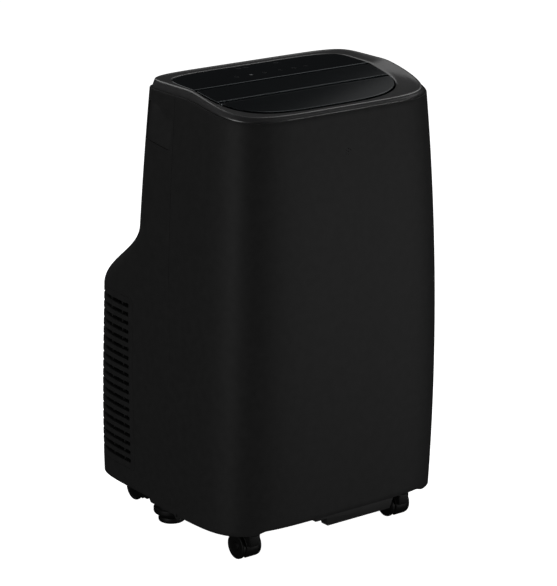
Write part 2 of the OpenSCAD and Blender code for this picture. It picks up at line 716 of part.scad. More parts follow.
module caster_fork(x, y) {
    color("#141415") translate([x, y, 0]) difference() {
        union() {
            translate([0, 0, 40]) cylinder(r = stem_r, h = stem_top_z - 40);
            translate([0, 0, 30]) cylinder(r = 13, h = fork_top_z - 30);
            intersection() {
                union() {
                    x_cyl(17, -web_half, web_half, caster_trail, wheel_r);
                    block([-web_half, -9, 22], [web_half, caster_trail, 46]);
                }
                block([-60, -11, 3], [60, 60, fork_top_z]);
            }
            difference() {
                x_cyl(fender_r, -wheel_out - 0.8, wheel_out + 0.8, caster_trail, wheel_r);
                x_cyl(wheel_r + 1.6, -wheel_out - 2, wheel_out + 2, caster_trail, wheel_r);
                block([-30, -60, -9], [30, 60, wheel_r + 5]);
                block([-30, caster_trail + 14, -9], [30, 60, 60]);
            }
            block([-web_half, 0, 36], [web_half, caster_trail + 8, wheel_r + fender_r - 1.4]);
        }
        for (s = [-1, 1]) scale([s, 1, 1])
            x_cyl(wheel_r + 0.9, wheel_in - 0.6, wheel_out + 0.2, caster_trail, wheel_r);
        x_cyl(axle_r + run_gap, -60, 60, caster_trail, wheel_r);
    }
}

module caster_wheels(x, y) {
    color("#111112") translate([x, y, 0]) {
        x_cyl(axle_r, -wheel_out + 1, wheel_out - 1, caster_trail, wheel_r);
        for (s = [-1, 1]) scale([s, 1, 1]) difference() {
            x_cyl(wheel_r, wheel_in, wheel_out, caster_trail, wheel_r, $fn = 64);
            difference() {
                x_cyl(wheel_r - 4, wheel_out - 1.5, wheel_out + 1, caster_trail, wheel_r);
                x_cyl(6, wheel_out - 3, wheel_out + 2, caster_trail, wheel_r);
            }
        }
    }
}

module caster_fork_front_left() { caster_fork(-caster_x, -caster_y); }
module caster_fork_front_right() { caster_fork(caster_x, -caster_y); }
module caster_fork_rear_left() { caster_fork(-rear_caster_x, caster_y); }
module caster_fork_rear_right() { caster_fork(rear_caster_x, caster_y); }
module caster_wheels_front_left() { caster_wheels(-caster_x, -caster_y); }
module caster_wheels_front_right() { caster_wheels(caster_x, -caster_y); }
module caster_wheels_rear_left() { caster_wheels(-rear_caster_x, caster_y); }
module caster_wheels_rear_right() { caster_wheels(rear_caster_x, caster_y); }

// ---------------------------------------------------------------- cooling circuit

comp_r = 58;
comp_wall = 15;
comp_lo_z = 84;
comp_h = 200;
acc_at = [-20, -122];

module compressor() {
    color("#0e0e10") translate([comp_at[0], comp_at[1], 0]) {
        difference() {
            translate([0, 0, comp_lo_z]) cylinder(r = comp_r, h = comp_h - 20, $fn = 64);
            translate([0, 0, comp_lo_z + comp_wall]) cylinder(r = comp_r - comp_wall, h = comp_h - 80, $fn = 64);
        }
        translate([0, 0, comp_lo_z + comp_h - 50]) intersection() {
            sphere(r = comp_r, $fn = 64);
            cylinder(r = comp_r, h = 48);
        }
        difference() {
            union() {
                for (a = [90, 210, 330]) rotate([0, 0, a]) {
                    translate([20, -16, comp_lo_z - 2]) cube([comp_feet_r - 20, 32, 4]);
                    translate([comp_feet_r, 0, comp_lo_z - 2]) cylinder(r = 16, h = 4);
                }
            }
            for (a = [90, 210, 330]) rotate([0, 0, a])
                translate([comp_feet_r, 0, comp_lo_z - 9]) cylinder(r = 8, h = 20);
        }
        translate([0, 0, comp_lo_z + comp_h - 8]) cylinder(r = 12, h = 12);
    }
}

module compressor_feet() {
    color("#181818") for (a = [90, 210, 330])
        translate([comp_at[0] + comp_feet_r * cos(a), comp_at[1] + comp_feet_r * sin(a), floor_z]) difference() {
            union() {
                cylinder(r = 13, h = comp_lo_z - 2 - floor_z);
                cylinder(r = 7.6, h = comp_lo_z + 6 - floor_z);
            }
            translate([0, 0, -1]) cylinder(r = 4.1, h = 60);
        }
}

module accumulator() {
    color("#0e0e10") translate([acc_at[0], acc_at[1], 110]) {
        cylinder(r = 22, h = 110);
        translate([0, 0, 110]) cylinder(r1 = 22, r2 = 7, h = 14);
        translate([0, 0, -12]) cylinder(r1 = 6, r2 = 22, h = 12);
    }
    color("#0e0e10") pipe([[acc_at[0], acc_at[1], 99], [acc_at[0], acc_at[1], 90],
                           [comp_at[0] + comp_r + 1, comp_at[1] - 10, 90]], 5);
}

// Fin pack seen from above: plates on a middle web, the row running along x
module fin_rows(len, depth, pitch) {
    n = floor(len / pitch);
    translate([0, depth / 2 - 2]) square([len, 4]);
    for (i = [0:n]) translate([i * (len - 1) / n, 0]) square([1, depth]);
}

module evaporator_coil() {
    color("#9aa0a3") translate([-125, 30, 404]) {
        linear_extrude(240) fin_rows(250, 24, 5);
        for (z = [4, 228]) translate([0, 10, z]) cube([250, 4, 6]);
    }
    color("#b87333") for (z = [424:26:622]) for (s = [-1, 1]) scale([s, 1, 1]) x_cyl(3.5, 124.5, 132, 42, z);
}

module condenser_coil() {
    lo = coil_lo_z;
    h = 290;
    color("#9aa0a3") translate([0, 0, lo]) linear_extrude(h) union() {
        translate([-164, 76]) rotate(90) fin_rows(74, 22, 5);
        translate([-161, 150]) fin_rows(121, 22, 5);
        polygon([[-177, 148], [-173, 148], [-158, 159], [-158, 163], [-161, 163]]);
    }
    color("#b87333") for (z = [98:26:360]) {
        y_cyl(3.5, 70, 76.5, -175, z);
        x_cyl(3.5, -40.5, -34, 161, z);
    }
}

// ---------------------------------------------------------------- blowers

lower_fan_x = [16, 104];
lower_fan_at = [10, 200];
upper_fan_y = [-124, -26];
upper_fan_at = [-40, 505];
skin_t = 2.5;

// Volute outline: grows clockwise from the tongue, then runs straight out along +u above the wheel
function volute(r0, r1, out_u, cut, tongue_low) = concat(
    [for (i = [0:22]) let (p = 330 * i / 22, r = r0 + (r1 - r0) * i / 22 - cut, a = 60 - p)
        [r * cos(a), r * sin(a)]],
    [[out_u, r1 - cut], [out_u, tongue_low + cut]]);

// Blower housing about the z axis
module scroll(r0, r1, out_u, depth, inlet_r, tongue_low) {
    difference() {
        linear_extrude(depth) polygon(volute(r0, r1, out_u, 0, tongue_low));
        translate([0, 0, skin_t]) linear_extrude(depth - 2 * skin_t)
            polygon(concat(volute(r0, r1, out_u + 9, skin_t, tongue_low)));
        translate([0, 0, -1]) cylinder(r = inlet_r, h = 9);
        translate([0, 0, depth - 9]) cylinder(r = 22, h = 20);
    }
}

// Blower wheel about the z axis: ring, back plate, raked blades and hub
module blower_wheel(r_out, r_in, depth, blades, shaft) {
    difference() {
        cylinder(r = r_out, h = 3);
        translate([0, 0, -1]) cylinder(r = r_in, h = 9);
    }
    translate([0, 0, depth - 2.5]) cylinder(r = r_out, h = 2.5);
    translate([0, 0, depth - 26]) cylinder(r = 11, h = 26);
    translate([0, 0, depth - 1]) cylinder(r = 4, h = shaft);
    for (i = [0:blades - 1]) rotate([0, 0, 360 * i / blades]) translate([r_in + 1, 0, 1])
        rotate([0, 0, 32]) translate([0, -0.8, 0]) cube([(r_out - r_in) * 0.98, 1.6, depth - 2]);
}

module lower_place() {
    translate([lower_fan_x[0], lower_fan_at[0], lower_fan_at[1]]) rotate([90, 0, 90]) children();
}

module upper_place() {
    translate([upper_fan_at[0], upper_fan_y[1], upper_fan_at[1]]) rotate([90, -90, 0]) scale([1, -1, 1]) children();
}

module lower_scroll() {
    color("#d8d8d4") lower_place()
        scroll(88, 128, socket_y - 20.2 - lower_fan_at[0], lower_fan_x[1] - lower_fan_x[0], 66, 42);
}

module lower_blower() {
    color("#2c2e30") lower_place() translate([0, 0, 8]) blower_wheel(80, 64, 70, 28, 22);
}

module lower_motor() {
    color("#8c9196") difference() {
        union() {
            x_cyl(42, lower_fan_x[1] + 4, lower_fan_x[1] + 56, lower_fan_at[0], lower_fan_at[1]);
            block([lower_fan_x[1] + 0.3, lower_fan_at[0] - 30, lower_fan_at[1] - 30],
                  [lower_fan_x[1] + 5, lower_fan_at[0] + 30, lower_fan_at[1] + 30]);
        }
        x_cyl(4 + run_gap, lower_fan_x[1] - 5, lower_fan_x[1] + 30, lower_fan_at[0], lower_fan_at[1]);
    }
}

module upper_scroll() {
    color("#d8d8d4") upper_place()
        scroll(78, 112, 103.6, upper_fan_y[1] - upper_fan_y[0], 58, 48);
}

module upper_blower() {
    color("#2c2e30") upper_place() translate([0, 0, 9]) blower_wheel(70, 55, 80, 28, 20);
}

module upper_motor() {
    y = upper_fan_y[0];
    color("#8c9196") difference() {
        union() {
            y_cyl(38, y - 46, y - 4, upper_fan_at[0], upper_fan_at[1]);
            block([upper_fan_at[0] - 27, y - 5, upper_fan_at[1] - 27], [upper_fan_at[0] + 27, y - 0.3, upper_fan_at[1] + 27]);
        }
        y_cyl(4 + run_gap, y - 22, y + 5, upper_fan_at[0], upper_fan_at[1]);
    }
}

slinger_at = [-100, 116];
slinger_y = 128;

module slinger_wheel() {
    color("#3a3d40") {
        y_cyl(11, slinger_y - 6, slinger_y + 4, slinger_at[0], slinger_at[1]);
        y_cyl(46, slinger_y, slinger_y + 2.5, slinger_at[0], slinger_at[1]);
        y_cyl(2.5, slinger_y - 22, slinger_y - 5, slinger_at[0], slinger_at[1]);
        for (i = [0:11]) translate([slinger_at[0], slinger_y + 2, slinger_at[1]]) rotate([0, 30 * i, 0])
            translate([34, 0, -0.8]) cube([16, 8, 1.6]);
    }
}

module slinger_motor() {
    color("#8c9196") difference() {
        union() {
            y_cyl(20, slinger_y - 42, slinger_y - 8, slinger_at[0], slinger_at[1]);
            block([slinger_at[0] - 24, slinger_y - 38, tray_z + tray_t + 2], [slinger_at[0] + 24, slinger_y - 34, slinger_at[1]]);
            block([slinger_at[0] - 24, slinger_y - 46, tray_z + tray_t + 2], [slinger_at[0] + 24, slinger_y - 20, tray_z + tray_t + 5]);
        }
        y_cyl(2.5 + run_gap, slinger_y - 24, slinger_y, slinger_at[0], slinger_at[1]);
    }
}

// ---------------------------------------------------------------- deck, pipes, electrics

deck_z = 384;
deck_t = 3;
riser_at = [-165, -125];

module mid_deck() {
    color("#e4e4df") difference() {
        union() {
            translate([0, 0, deck_z]) linear_extrude(deck_t) case_outline(deck_z + deck_t, wall + 2.2);
            difference() {
                block([-138, 24, deck_z + 1], [138, 62, deck_z + 15]);
                block([-136, 26, deck_z + deck_t], [136, 60, deck_z + 30]);
            }
        }
        translate([riser_at[0], riser_at[1], deck_z - 9]) cylinder(r = 8, h = 30);
        translate([150, -100, deck_z - 9]) cylinder(r = 14, h = 30);
    }
}

module discharge_pipe() {
    c = comp_at;
    pipe_z = 332;
    color("#b87333") pipe([[c[0] + 20, c[1], comp_lo_z + comp_h - 1.8], [c[0] + 20, c[1], pipe_z], [c[0] + 20, 40, pipe_z],
                           [-175, 40, pipe_z], [-175, 70, pipe_z]], 4);
}

module suction_pipe() {
    a = acc_at;
    color("#b87333") pipe([[a[0], a[1], 234.1], [a[0], a[1], 350], [riser_at[0], riser_at[1], 350],
                           [riser_at[0], riser_at[1], 424], [riser_at[0], 42, 424], [-132.1, 42, 424]], 5);
}

module control_box() {
    color("#c9c9c4") difference() {
        block([118, -150, 262], [182, -70, 374]);
        block([121, -147, 265], [190, -73, 371]);
    }
}

module main_board() {
    color("darkgreen") block([125, -145, 268], [126.6, -75, 368]);
    color("#222222") translate([126.6, -128, 290]) rotate([0, 90, 0]) cylinder(r = 14, h = 40);
    color("#3050a0") block([126.6, -100, 275], [146, -82, 300]);
    color("#111111") block([126.6, -104, 320], [138, -80, 350]);
}

front_cover();
rear_cover();
top_ring();
control_panel();
display_board();
louvre_rear();
louvre_front();
louvre_link();
swing_motor();
swing_arm();
outlet_duct();
vane_1();
vane_2();
vane_3();
vane_4();
vane_5();
vane_6();
vane_tie_bar();
handle_left();
handle_right();
corner_grille();
filter_frame();
filter_cover();
filter_mesh();
exhaust_socket();
exhaust_duct();
base_tray();
caster_fork_front_left();
caster_fork_front_right();
caster_fork_rear_left();
caster_fork_rear_right();
caster_wheels_front_left();
caster_wheels_front_right();
caster_wheels_rear_left();
caster_wheels_rear_right();
drain_spigot();
drain_plug();
sump_cap();
cord_hooks();
cord_gland();
compressor();
accumulator();
compressor_feet();
condenser_coil();
evaporator_coil();
lower_blower();
lower_scroll();
lower_motor();
upper_blower();
upper_scroll();
upper_motor();
slinger_wheel();
slinger_motor();
mid_deck();
discharge_pipe();
suction_pipe();
control_box();
main_board();
case_screws();
room_sensor();
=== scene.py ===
"""Looks of the portable air conditioner, built over its CAD frame.

Lengths are in millimetres up to the point where a mesh is made; MM turns them into metres.
The case formulas are those of the CAD source, so each new piece lies on the node it stands for.
"""

import json
import math

import bmesh
import bpy
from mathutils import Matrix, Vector


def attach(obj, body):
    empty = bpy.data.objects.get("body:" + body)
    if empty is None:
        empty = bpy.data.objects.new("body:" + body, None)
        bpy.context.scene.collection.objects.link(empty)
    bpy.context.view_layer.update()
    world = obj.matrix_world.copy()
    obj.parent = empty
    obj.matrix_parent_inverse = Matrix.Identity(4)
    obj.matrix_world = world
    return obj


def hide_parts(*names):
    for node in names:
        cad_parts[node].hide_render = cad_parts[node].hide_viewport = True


MM = 0.001

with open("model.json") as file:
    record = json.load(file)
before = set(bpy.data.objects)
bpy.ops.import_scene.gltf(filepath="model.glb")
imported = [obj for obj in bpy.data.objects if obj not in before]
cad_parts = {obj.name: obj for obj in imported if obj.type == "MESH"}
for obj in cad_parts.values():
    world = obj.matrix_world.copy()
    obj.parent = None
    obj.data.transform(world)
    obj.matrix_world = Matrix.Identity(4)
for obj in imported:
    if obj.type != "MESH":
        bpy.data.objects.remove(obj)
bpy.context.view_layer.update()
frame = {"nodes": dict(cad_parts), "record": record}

# ------------------------------------------------------------------ case formulas

BODY_W, BODY_D, BODY_H = 412.0, 395.0, 700.0
SKIRT_Z, WALL = 57.0, 2.8
SIDE_LEAN, FRONT_BOW = 17.0, 11.0
SEAM_Y = -25.0                                   # where the front and rear covers meet
SHOULDER_Z, SHOULDER_H = 361.0, 117.0
UPPER_REAR_Y, TOP_REAR_Y = 85.0, 70.0            # rear wall just above the shoulder and under the rim
EDGE_DROP = 19.0                                 # how much lower the covers' upper edge is in front
RIM_RISE, RIM_RISE_FRONT = 12.5, 6.5             # crest of the rim above that edge
REAR_EDGE_Z = BODY_H - RIM_RISE
FRONT_EDGE_Z = REAR_EDGE_Z - EDGE_DROP
CORNER_FRONT, CORNER_REAR, FOOT_CORNER_REAR = 5.05, 6.6, 8.4    # exponents: the higher, the squarer
SQUARE_Z = 400.0                                 # below this the rear corners get squarer

PANEL_FRONT_Y, PANEL_DEPTH = -33.0, 84.0
PANEL_Z = REAR_EDGE_Z + 6.5
MOUTH_HALF_W, MOUTH_DEPTH = 161.0, 118.0         # the rim's opening, its depth counted from the panel
MOUTH_CORNER, PANEL_CORNER = 3.6, 6.0
LOUVRE_SPLIT_Y = -85.0

INTAKE_LO_Z, INTAKE_H = 492.0, 172.0
UPPER_TILT = math.atan((UPPER_REAR_Y - TOP_REAR_Y) / (REAR_EDGE_Z - SHOULDER_Z - SHOULDER_H))


def clamp(value):
    return min(max(value, 0.0), 1.0)


def smooth(value):
    """Eases from 0 to 1 as the value does."""
    u = clamp(value)
    return u * u * (3 - 2 * u)


def half_w(z):
    return BODY_W / 2 - SIDE_LEAN * ((z - 220) / 440) ** 2


def front_y(z):
    return -BODY_D / 2 + FRONT_BOW * ((z - 340) / 320) ** 2


def upper_y(z):
    """Rear wall above the shoulder, which leans forwards."""
    foot = SHOULDER_Z + SHOULDER_H
    return UPPER_REAR_Y + (TOP_REAR_Y - UPPER_REAR_Y) * clamp((z - foot) / (REAR_EDGE_Z - foot))


def rear_y(z):
    s = smooth((z - SHOULDER_Z) / SHOULDER_H)
    return BODY_D / 2 * (1 - s) + upper_y(z) * s


def rear_n(z):
    """Corner exponent of the rear half."""
    return CORNER_REAR + (FOOT_CORNER_REAR - CORNER_REAR) * smooth((SQUARE_Z - z) / (SQUARE_Z - SKIRT_Z))


def case_half(in_front, z):
    """Corner exponent of the case's front or rear half at a level, and its reach from the seam."""
    return (CORNER_FRONT, SEAM_Y - front_y(z)) if in_front else (rear_n(z), rear_y(z) - SEAM_Y)


def rounded(angle, half, to_front, to_rear, n_front, n_rear):
    """A point of a rounded outline about the seam line, at an angle in degrees."""
    c, s = math.cos(math.radians(angle)), math.sin(math.radians(angle))
    n, reach = (n_front, to_front) if s < 0 else (n_rear, to_rear)
    return math.copysign(half * abs(c) ** (2 / n), c), math.copysign(reach * abs(s) ** (2 / n), s)


def case_pt(angle, z, inset=0.0):
    """Point of the case's outline; a column of points keeps its direction as the corners change."""
    x, y = rounded(angle, 1.0, 1.0, 1.0, CORNER_FRONT, CORNER_REAR)
    n, reach = case_half(y < 0, z)
    out = (abs(x) ** n + abs(y) ** n) ** (-1 / n)
    return x * out * (half_w(z) - inset), SEAM_Y + y * out * (reach - inset)


def side_x(y, z):
    n, reach = case_half(y < SEAM_Y, z)
    return half_w(z) * max(1 - min(abs(y - SEAM_Y) / reach, 1) ** n, 0) ** (1 / n)


def rear_at(x, z):
    n, reach = case_half(False, z)
    return SEAM_Y + reach * max(1 - min(abs(x) / half_w(z), 1) ** n, 0) ** (1 / n)


def edge_z(y):
    """Upper edge of the covers."""
    return FRONT_EDGE_Z + EDGE_DROP * smooth((y + 192) / 150)


def edge_at(angle):
    return edge_z(case_pt(angle, REAR_EDGE_Z - 6)[1])


def rise_at(y):
    return RIM_RISE_FRONT + (RIM_RISE - RIM_RISE_FRONT) * clamp((y + BODY_D / 2) / (BODY_D / 2 - 50))


def top_z(y):
    """Surface of the panel and of the closed flaps, which fall away to the front."""
    if y > PANEL_FRONT_Y:
        return PANEL_Z + 3 * (y - PANEL_FRONT_Y) / PANEL_DEPTH
    d = (PANEL_FRONT_Y - y) / MOUTH_DEPTH
    return PANEL_Z - 17 * d - 5 * d * d


def mouth_pt(angle):
    x, y = rounded(angle, MOUTH_HALF_W, MOUTH_DEPTH, PANEL_DEPTH, MOUTH_CORNER, PANEL_CORNER)
    return x, PANEL_FRONT_Y + y


def mouth_half(y, gap):
    """Corner exponent and reach of the mouth's front or rear half, its outline drawn in by gap."""
    return (MOUTH_CORNER, MOUTH_DEPTH - gap) if y < PANEL_FRONT_Y else (PANEL_CORNER, PANEL_DEPTH - gap)


def mouth_level(x, y, gap):
    """1 on the mouth's outline drawn in by gap and less inside it, with its slope, for a place in plan."""
    n, reach = mouth_half(y, gap)
    u, v = abs(x) / (MOUTH_HALF_W - gap), abs(y - PANEL_FRONT_Y) / reach
    level = max((u ** n + v ** n) ** (1 / n), 1e-6)
    slope = math.hypot((u / level) ** (n - 1) / (MOUTH_HALF_W - gap), (v / level) ** (n - 1) / reach)
    return level, max(slope, 1e-6)


def mouth_half_w(y, gap):
    n, reach = mouth_half(y, gap)
    return (MOUTH_HALF_W - gap) * max(1 - min(abs(y - PANEL_FRONT_Y) / reach, 1) ** n, 0) ** (1 / n)


def on_upper_wall(y, z):
    """Depth and height of a place given in the frame of the tilted upper wall: out of it, and up it."""
    c, s = math.cos(UPPER_TILT), math.sin(UPPER_TILT)
    return upper_y(INTAKE_LO_Z) + y * c - z * s, INTAKE_LO_Z + y * s + z * c


def tilted(solid):
    """A solid given in the upper wall's frame, moved to the model's."""
    points, faces = solid
    return [(x, *on_upper_wall(y, z)) for x, y, z in points], faces


# ------------------------------------------------------------------ materials

def moulded(name, colour, roughness, grain=0.00045, depth=0.00002, specular=0.5, spread=0.08,
            metallic=0.0, mottle=0.012, tint=(1.0, 1.0, 1.0)):
    """Moulded or coated surface: fine grain, slight unevenness of colour and gloss.

    grain, depth and mottle are in metres: the size and height of the grain, and the size of the mottling.
    """
    mat = bpy.data.materials.new(name)
    mat.use_nodes = True
    tree = mat.node_tree
    shader = tree.nodes["Principled BSDF"]
    shader.inputs["Metallic"].default_value = metallic
    shader.inputs["Specular IOR Level"].default_value = specular
    shader.inputs["Specular Tint"].default_value = (*tint, 1)
    place = tree.nodes.new("ShaderNodeTexCoord")

    def noise(scale, detail):
        node = tree.nodes.new("ShaderNodeTexNoise")
        node.inputs["Scale"].default_value = scale
        node.inputs["Detail"].default_value = detail
        tree.links.new(place.outputs["Object"], node.inputs["Vector"])
        return node

    fine, broad = noise(1 / grain, 3), noise(1 / mottle, 2)
    shades = tree.nodes.new("ShaderNodeValToRGB")
    for element, position, share in zip(shades.color_ramp.elements, (0.3, 0.7), (0.9, 1.1)):
        element.position = position
        element.color = (*[c * share for c in colour], 1)
    tree.links.new(broad.outputs["Fac"], shades.inputs["Fac"])
    tree.links.new(shades.outputs["Color"], shader.inputs["Base Color"])
    gloss = tree.nodes.new("ShaderNodeMapRange")
    gloss.inputs["To Min"].default_value = max(roughness - spread, 0.02)
    gloss.inputs["To Max"].default_value = min(roughness + spread, 1)
    tree.links.new(fine.outputs["Fac"], gloss.inputs["Value"])
    tree.links.new(gloss.outputs["Result"], shader.inputs["Roughness"])
    bump = tree.nodes.new("ShaderNodeBump")
    bump.inputs["Strength"].default_value = 0.35
    bump.inputs["Distance"].default_value = depth
    tree.links.new(fine.outputs["Fac"], bump.inputs["Height"])
    tree.links.new(bump.outputs["Normal"], shader.inputs["Normal"])
    return mat


# One look for each material slot of the record.
LOOKS = {
    "cover_front": moulded("black_matte_front", (0.0125,) * 3, 0.6, specular=0.12),
    "cover_rear": moulded("black_matte_rear", (0.0125,) * 3, 0.6, specular=0.12),
    "rim": moulded("satin_grey_rim", (0.022, 0.022, 0.0225), 0.36, grain=0.0003, depth=0.000004,
                   specular=0.85, spread=0.03),
    "panel": moulded("gloss_black_panel", (0.0042, 0.0054, 0.0066), 0.1, grain=0.0006, depth=0.000001,
                     specular=0.4, spread=0.02, tint=(0.85, 0.94, 1.0)),
    "louvre": moulded("satin_louvre", (0.0056, 0.0068, 0.0078), 0.2, grain=0.0003, depth=0.000003,
                      specular=0.45, spread=0.03, tint=(0.86, 0.95, 1.0)),
    "duct": moulded("duct_black", (0.012,) * 3, 0.6, specular=0.3),
    "caster": moulded("caster_black", (0.003,) * 3, 0.5, specular=0.1),
    "rubber": moulded("rubber_black", (0.011,) * 3, 0.75, grain=0.0007, depth=0.00004, specular=0.2),
    "steel": moulded("galvanised_steel", (0.42, 0.43, 0.44), 0.35, grain=0.003, metallic=1.0, mottle=0.02),
    "motor": moulded("motor_paint", (0.03, 0.031, 0.033), 0.45, grain=0.0006),
    "fins": moulded("dark_coated_fins", (0.03, 0.031, 0.033), 0.6, grain=0.001, specular=0.2),
    "copper": moulded("copper_tube", (0.6, 0.28, 0.16), 0.3, grain=0.002, metallic=1.0, mottle=0.01),
    "abs_white": moulded("abs_ivory", (0.68, 0.67, 0.62), 0.5),
    "fan": moulded("fan_plastic", (0.02, 0.021, 0.022), 0.45),
    "board": moulded("circuit_board", (0.02, 0.09, 0.035), 0.4, grain=0.002, mottle=0.006),
    "mesh": moulded("filter_mesh_grey", (0.06, 0.062, 0.064), 0.7),
    "screw": moulded("zinc_screw", (0.3, 0.3, 0.31), 0.35, grain=0.0005, metallic=1.0),
}
# Prints on the panel, which have no slot of their own.
MARKING = moulded("panel_marking", (0.02, 0.0215, 0.023), 0.5, spread=0.02)
MARKING_BRIGHT = moulded("panel_marking_bright", (0.22, 0.23, 0.24), 0.5, spread=0.02)


# ------------------------------------------------------------------ mesh helpers
# A solid is a pair (points, faces) in millimetres, closed unless its text says otherwise.

def several(*solids):
    """Several solids as one set of points and faces."""
    points, faces = [], []
    for solid_points, solid_faces in solids:
        faces += [[i + len(points) for i in f] for f in solid_faces]
        points += solid_points
    return points, faces


def mesh_object(name, points, faces):
    """A new object in metres from a solid in millimetres, its faces turned outwards."""
    mesh = bpy.data.meshes.new(name)
    mesh.from_pydata([(x * MM, y * MM, z * MM) for x, y, z in points], [], faces)
    bm = bmesh.new()
    bm.from_mesh(mesh)
    bmesh.ops.recalc_face_normals(bm, faces=bm.faces)
    bm.to_mesh(mesh)
    bm.free()
    obj = bpy.data.objects.new(name, mesh)
    bpy.context.scene.collection.objects.link(obj)
    return obj


def carve(obj, solids, operation="DIFFERENCE"):
    """Takes solids out of an object's mesh, or keeps what is inside them."""
    cutter = mesh_object("cutter", *several(*solids))
    modifier = obj.modifiers.new("cut", "BOOLEAN")
    modifier.operation, modifier.solver, modifier.object = operation, "EXACT", cutter
    bpy.context.view_layer.update()
    evaluated = obj.evaluated_get(bpy.context.evaluated_depsgraph_get())
    obj.data = bpy.data.meshes.new_from_object(evaluated)
    obj.modifiers.clear()
    bpy.data.objects.remove(cutter)


def dress(obj, material, sharp, soften=0.0):
    """Rounds hard edges by soften millimetres, shades smooth up to sharp degrees, and sets the material."""
    bm = bmesh.new()
    bm.from_mesh(obj.data)
    if soften:
        bmesh.ops.remove_doubles(bm, verts=bm.verts, dist=0.01 * MM)
        bmesh.ops.dissolve_limit(bm, angle_limit=math.radians(0.5), verts=bm.verts, edges=bm.edges)
        hard = [e for e in bm.edges if len(e.link_faces) == 2 and e.calc_face_angle(0) > math.radians(30)]
        bmesh.ops.bevel(bm, geom=hard, offset=soften * MM, segments=3, profile=0.5, affect="EDGES",
                        clamp_overlap=True)
    bmesh.ops.recalc_face_normals(bm, faces=bm.faces)
    for face in bm.faces:
        face.smooth = True
    for edge in bm.edges:
        edge.smooth = len(edge.link_faces) == 2 and edge.calc_face_angle(0) < math.radians(sharp)
    bm.to_mesh(obj.data)
    bm.free()
    obj.data.materials.clear()
    obj.data.materials.append(material)


def piece(name, points, faces, body, look, stands_for=(), sharp=32, cut=None, soften=0.0):
    """A new piece that rides on a body; look is a slot's name, or a material that belongs to no slot."""
    obj = mesh_object(name, points, faces)
    if cut:
        carve(obj, cut)
    dress(obj, LOOKS.get(look, look), sharp, soften)
    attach(obj, body)
    if stands_for:
        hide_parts(*stands_for)
    return obj


def grid(rows, loop_rows=False, loop_cols=False, first=0):
    """Points and quads of a grid of equal rows; the quads count their points from first."""
    n, m = len(rows), len(rows[0])
    points = [p for row in rows for p in row]
    faces = []
    for i in range(n if loop_rows else n - 1):
        for j in range(m if loop_cols else m - 1):
            a, b = i * m + j, i * m + (j + 1) % m
            c, d = ((i + 1) % n) * m + (j + 1) % m, ((i + 1) % n) * m + j
            faces.append([first + a, first + b, first + c, first + d])
    return points, faces


def tube(sections):
    """A solid from closed sections, one after the other, with flat ends."""
    points, faces = grid(sections, loop_cols=True)
    m = len(sections[0])
    faces.append(list(range(m))[::-1])
    faces.append([len(points) - m + j for j in range(m)])
    return points, faces


# How flat coordinates u and v and a distance t along an axis become x, y and z.
ALONG = {
    "x": lambda u, v, t: (t, u, v),
    "y": lambda u, v, t: (u, t, v),
    "z": lambda u, v, t: (u, v, t),
}


def prism(outline, axis, lo, hi):
    """A solid with this flat outline, drawn along x, y or z from lo to hi."""
    return tube([[ALONG[axis](u, v, t) for u, v in outline] for t in (lo, hi)])


def box(lo, hi):
    return prism([(lo[0], lo[1]), (hi[0], lo[1]), (hi[0], hi[1]), (lo[0], hi[1])], "z", lo[2], hi[2])


def arc(cu, cv, r, a0, a1, steps=14):
    """Points of an arc from a0 to a1 degrees."""
    angles = [math.radians(a0 + (a1 - a0) * k / steps) for k in range(steps + 1)]
    return [(cu + r * math.cos(a), cv + r * math.sin(a)) for a in angles]


def ring_of(cu, cv, r, steps=64):
    """Points of a full circle."""
    angles = [2 * math.pi * k / steps for k in range(steps)]
    return [(cu + r * math.cos(a), cv + r * math.sin(a)) for a in angles]


def round_rect(u0, v0, u1, v1, r, steps=6):
    """Outline of a rectangle with rounded corners."""
    centres = [(u1 - r, v1 - r, 0), (u0 + r, v1 - r, 90), (u0 + r, v0 + r, 180), (u1 - r, v0 + r, 270)]
    return [p for cu, cv, a in centres for p in arc(cu, cv, r, a, a + 90, steps)]


def soft_outline(corners, radius, steps=8):
    """A polygon's outline with its corners rounded."""
    out = []
    for i, corner in enumerate(corners):
        p, a, b = Vector(corner), Vector(corners[i - 1]), Vector(corners[(i + 1) % len(corners)])
        to_a, to_b = (a - p).normalized(), (b - p).normalized()
        reach = min(radius / math.tan(to_a.angle(to_b) / 2), (a - p).length / 2.05, (b - p).length / 2.05)
        start, end = p + to_a * reach, p + to_b * reach
        for k in range(steps + 1):
            t = k / steps
            q = start * (1 - t) ** 2 + p * 2 * t * (1 - t) + end * t * t
            out.append((q.x, q.y))
    return out


def turned(profile, axis, centre, steps=64):
    """A solid of revolution: profile is (radius, along) pairs from one end to the other."""
    sections = []
    for r, t in profile:
        section = [ALONG[axis](u, v, t) for u, v in ring_of(0, 0, r, steps)]
        sections.append([tuple(c + d for c, d in zip(centre, p)) for p in section])
    return tube(sections)


def turned_soft(profile, axis, centre, steps=72, r=0.6):
    """Solid of revolution whose profile corners are cut back a little, so its edges catch light."""
    out = [profile[0]]
    for a, b, c in zip(profile, profile[1:], profile[2:]):
        p, before, after = Vector(b), Vector(a), Vector(c)
        reach = min(r, (before - p).length * 0.45, (after - p).length * 0.45)
        to_before, to_after = (before - p).normalized(), (after - p).normalized()
        out.append(tuple(p + to_before * reach))
        out.append(tuple(p + (to_before + to_after) * reach * 0.3))
        out.append(tuple(p + to_after * reach))
    out.append(profile[-1])
    return turned(out, axis, centre, steps)


def turned_ring(profile, x, z, steps):
    """A ring about an axis along y: profile is the closed (radius, depth) outline of its cross-section."""
    sections = []
    for c, s in ring_of(0, 0, 1, steps):
        sections.append([(x + r * c, y, z + r * s) for r, y in profile])
    return grid(sections, loop_rows=True, loop_cols=True)


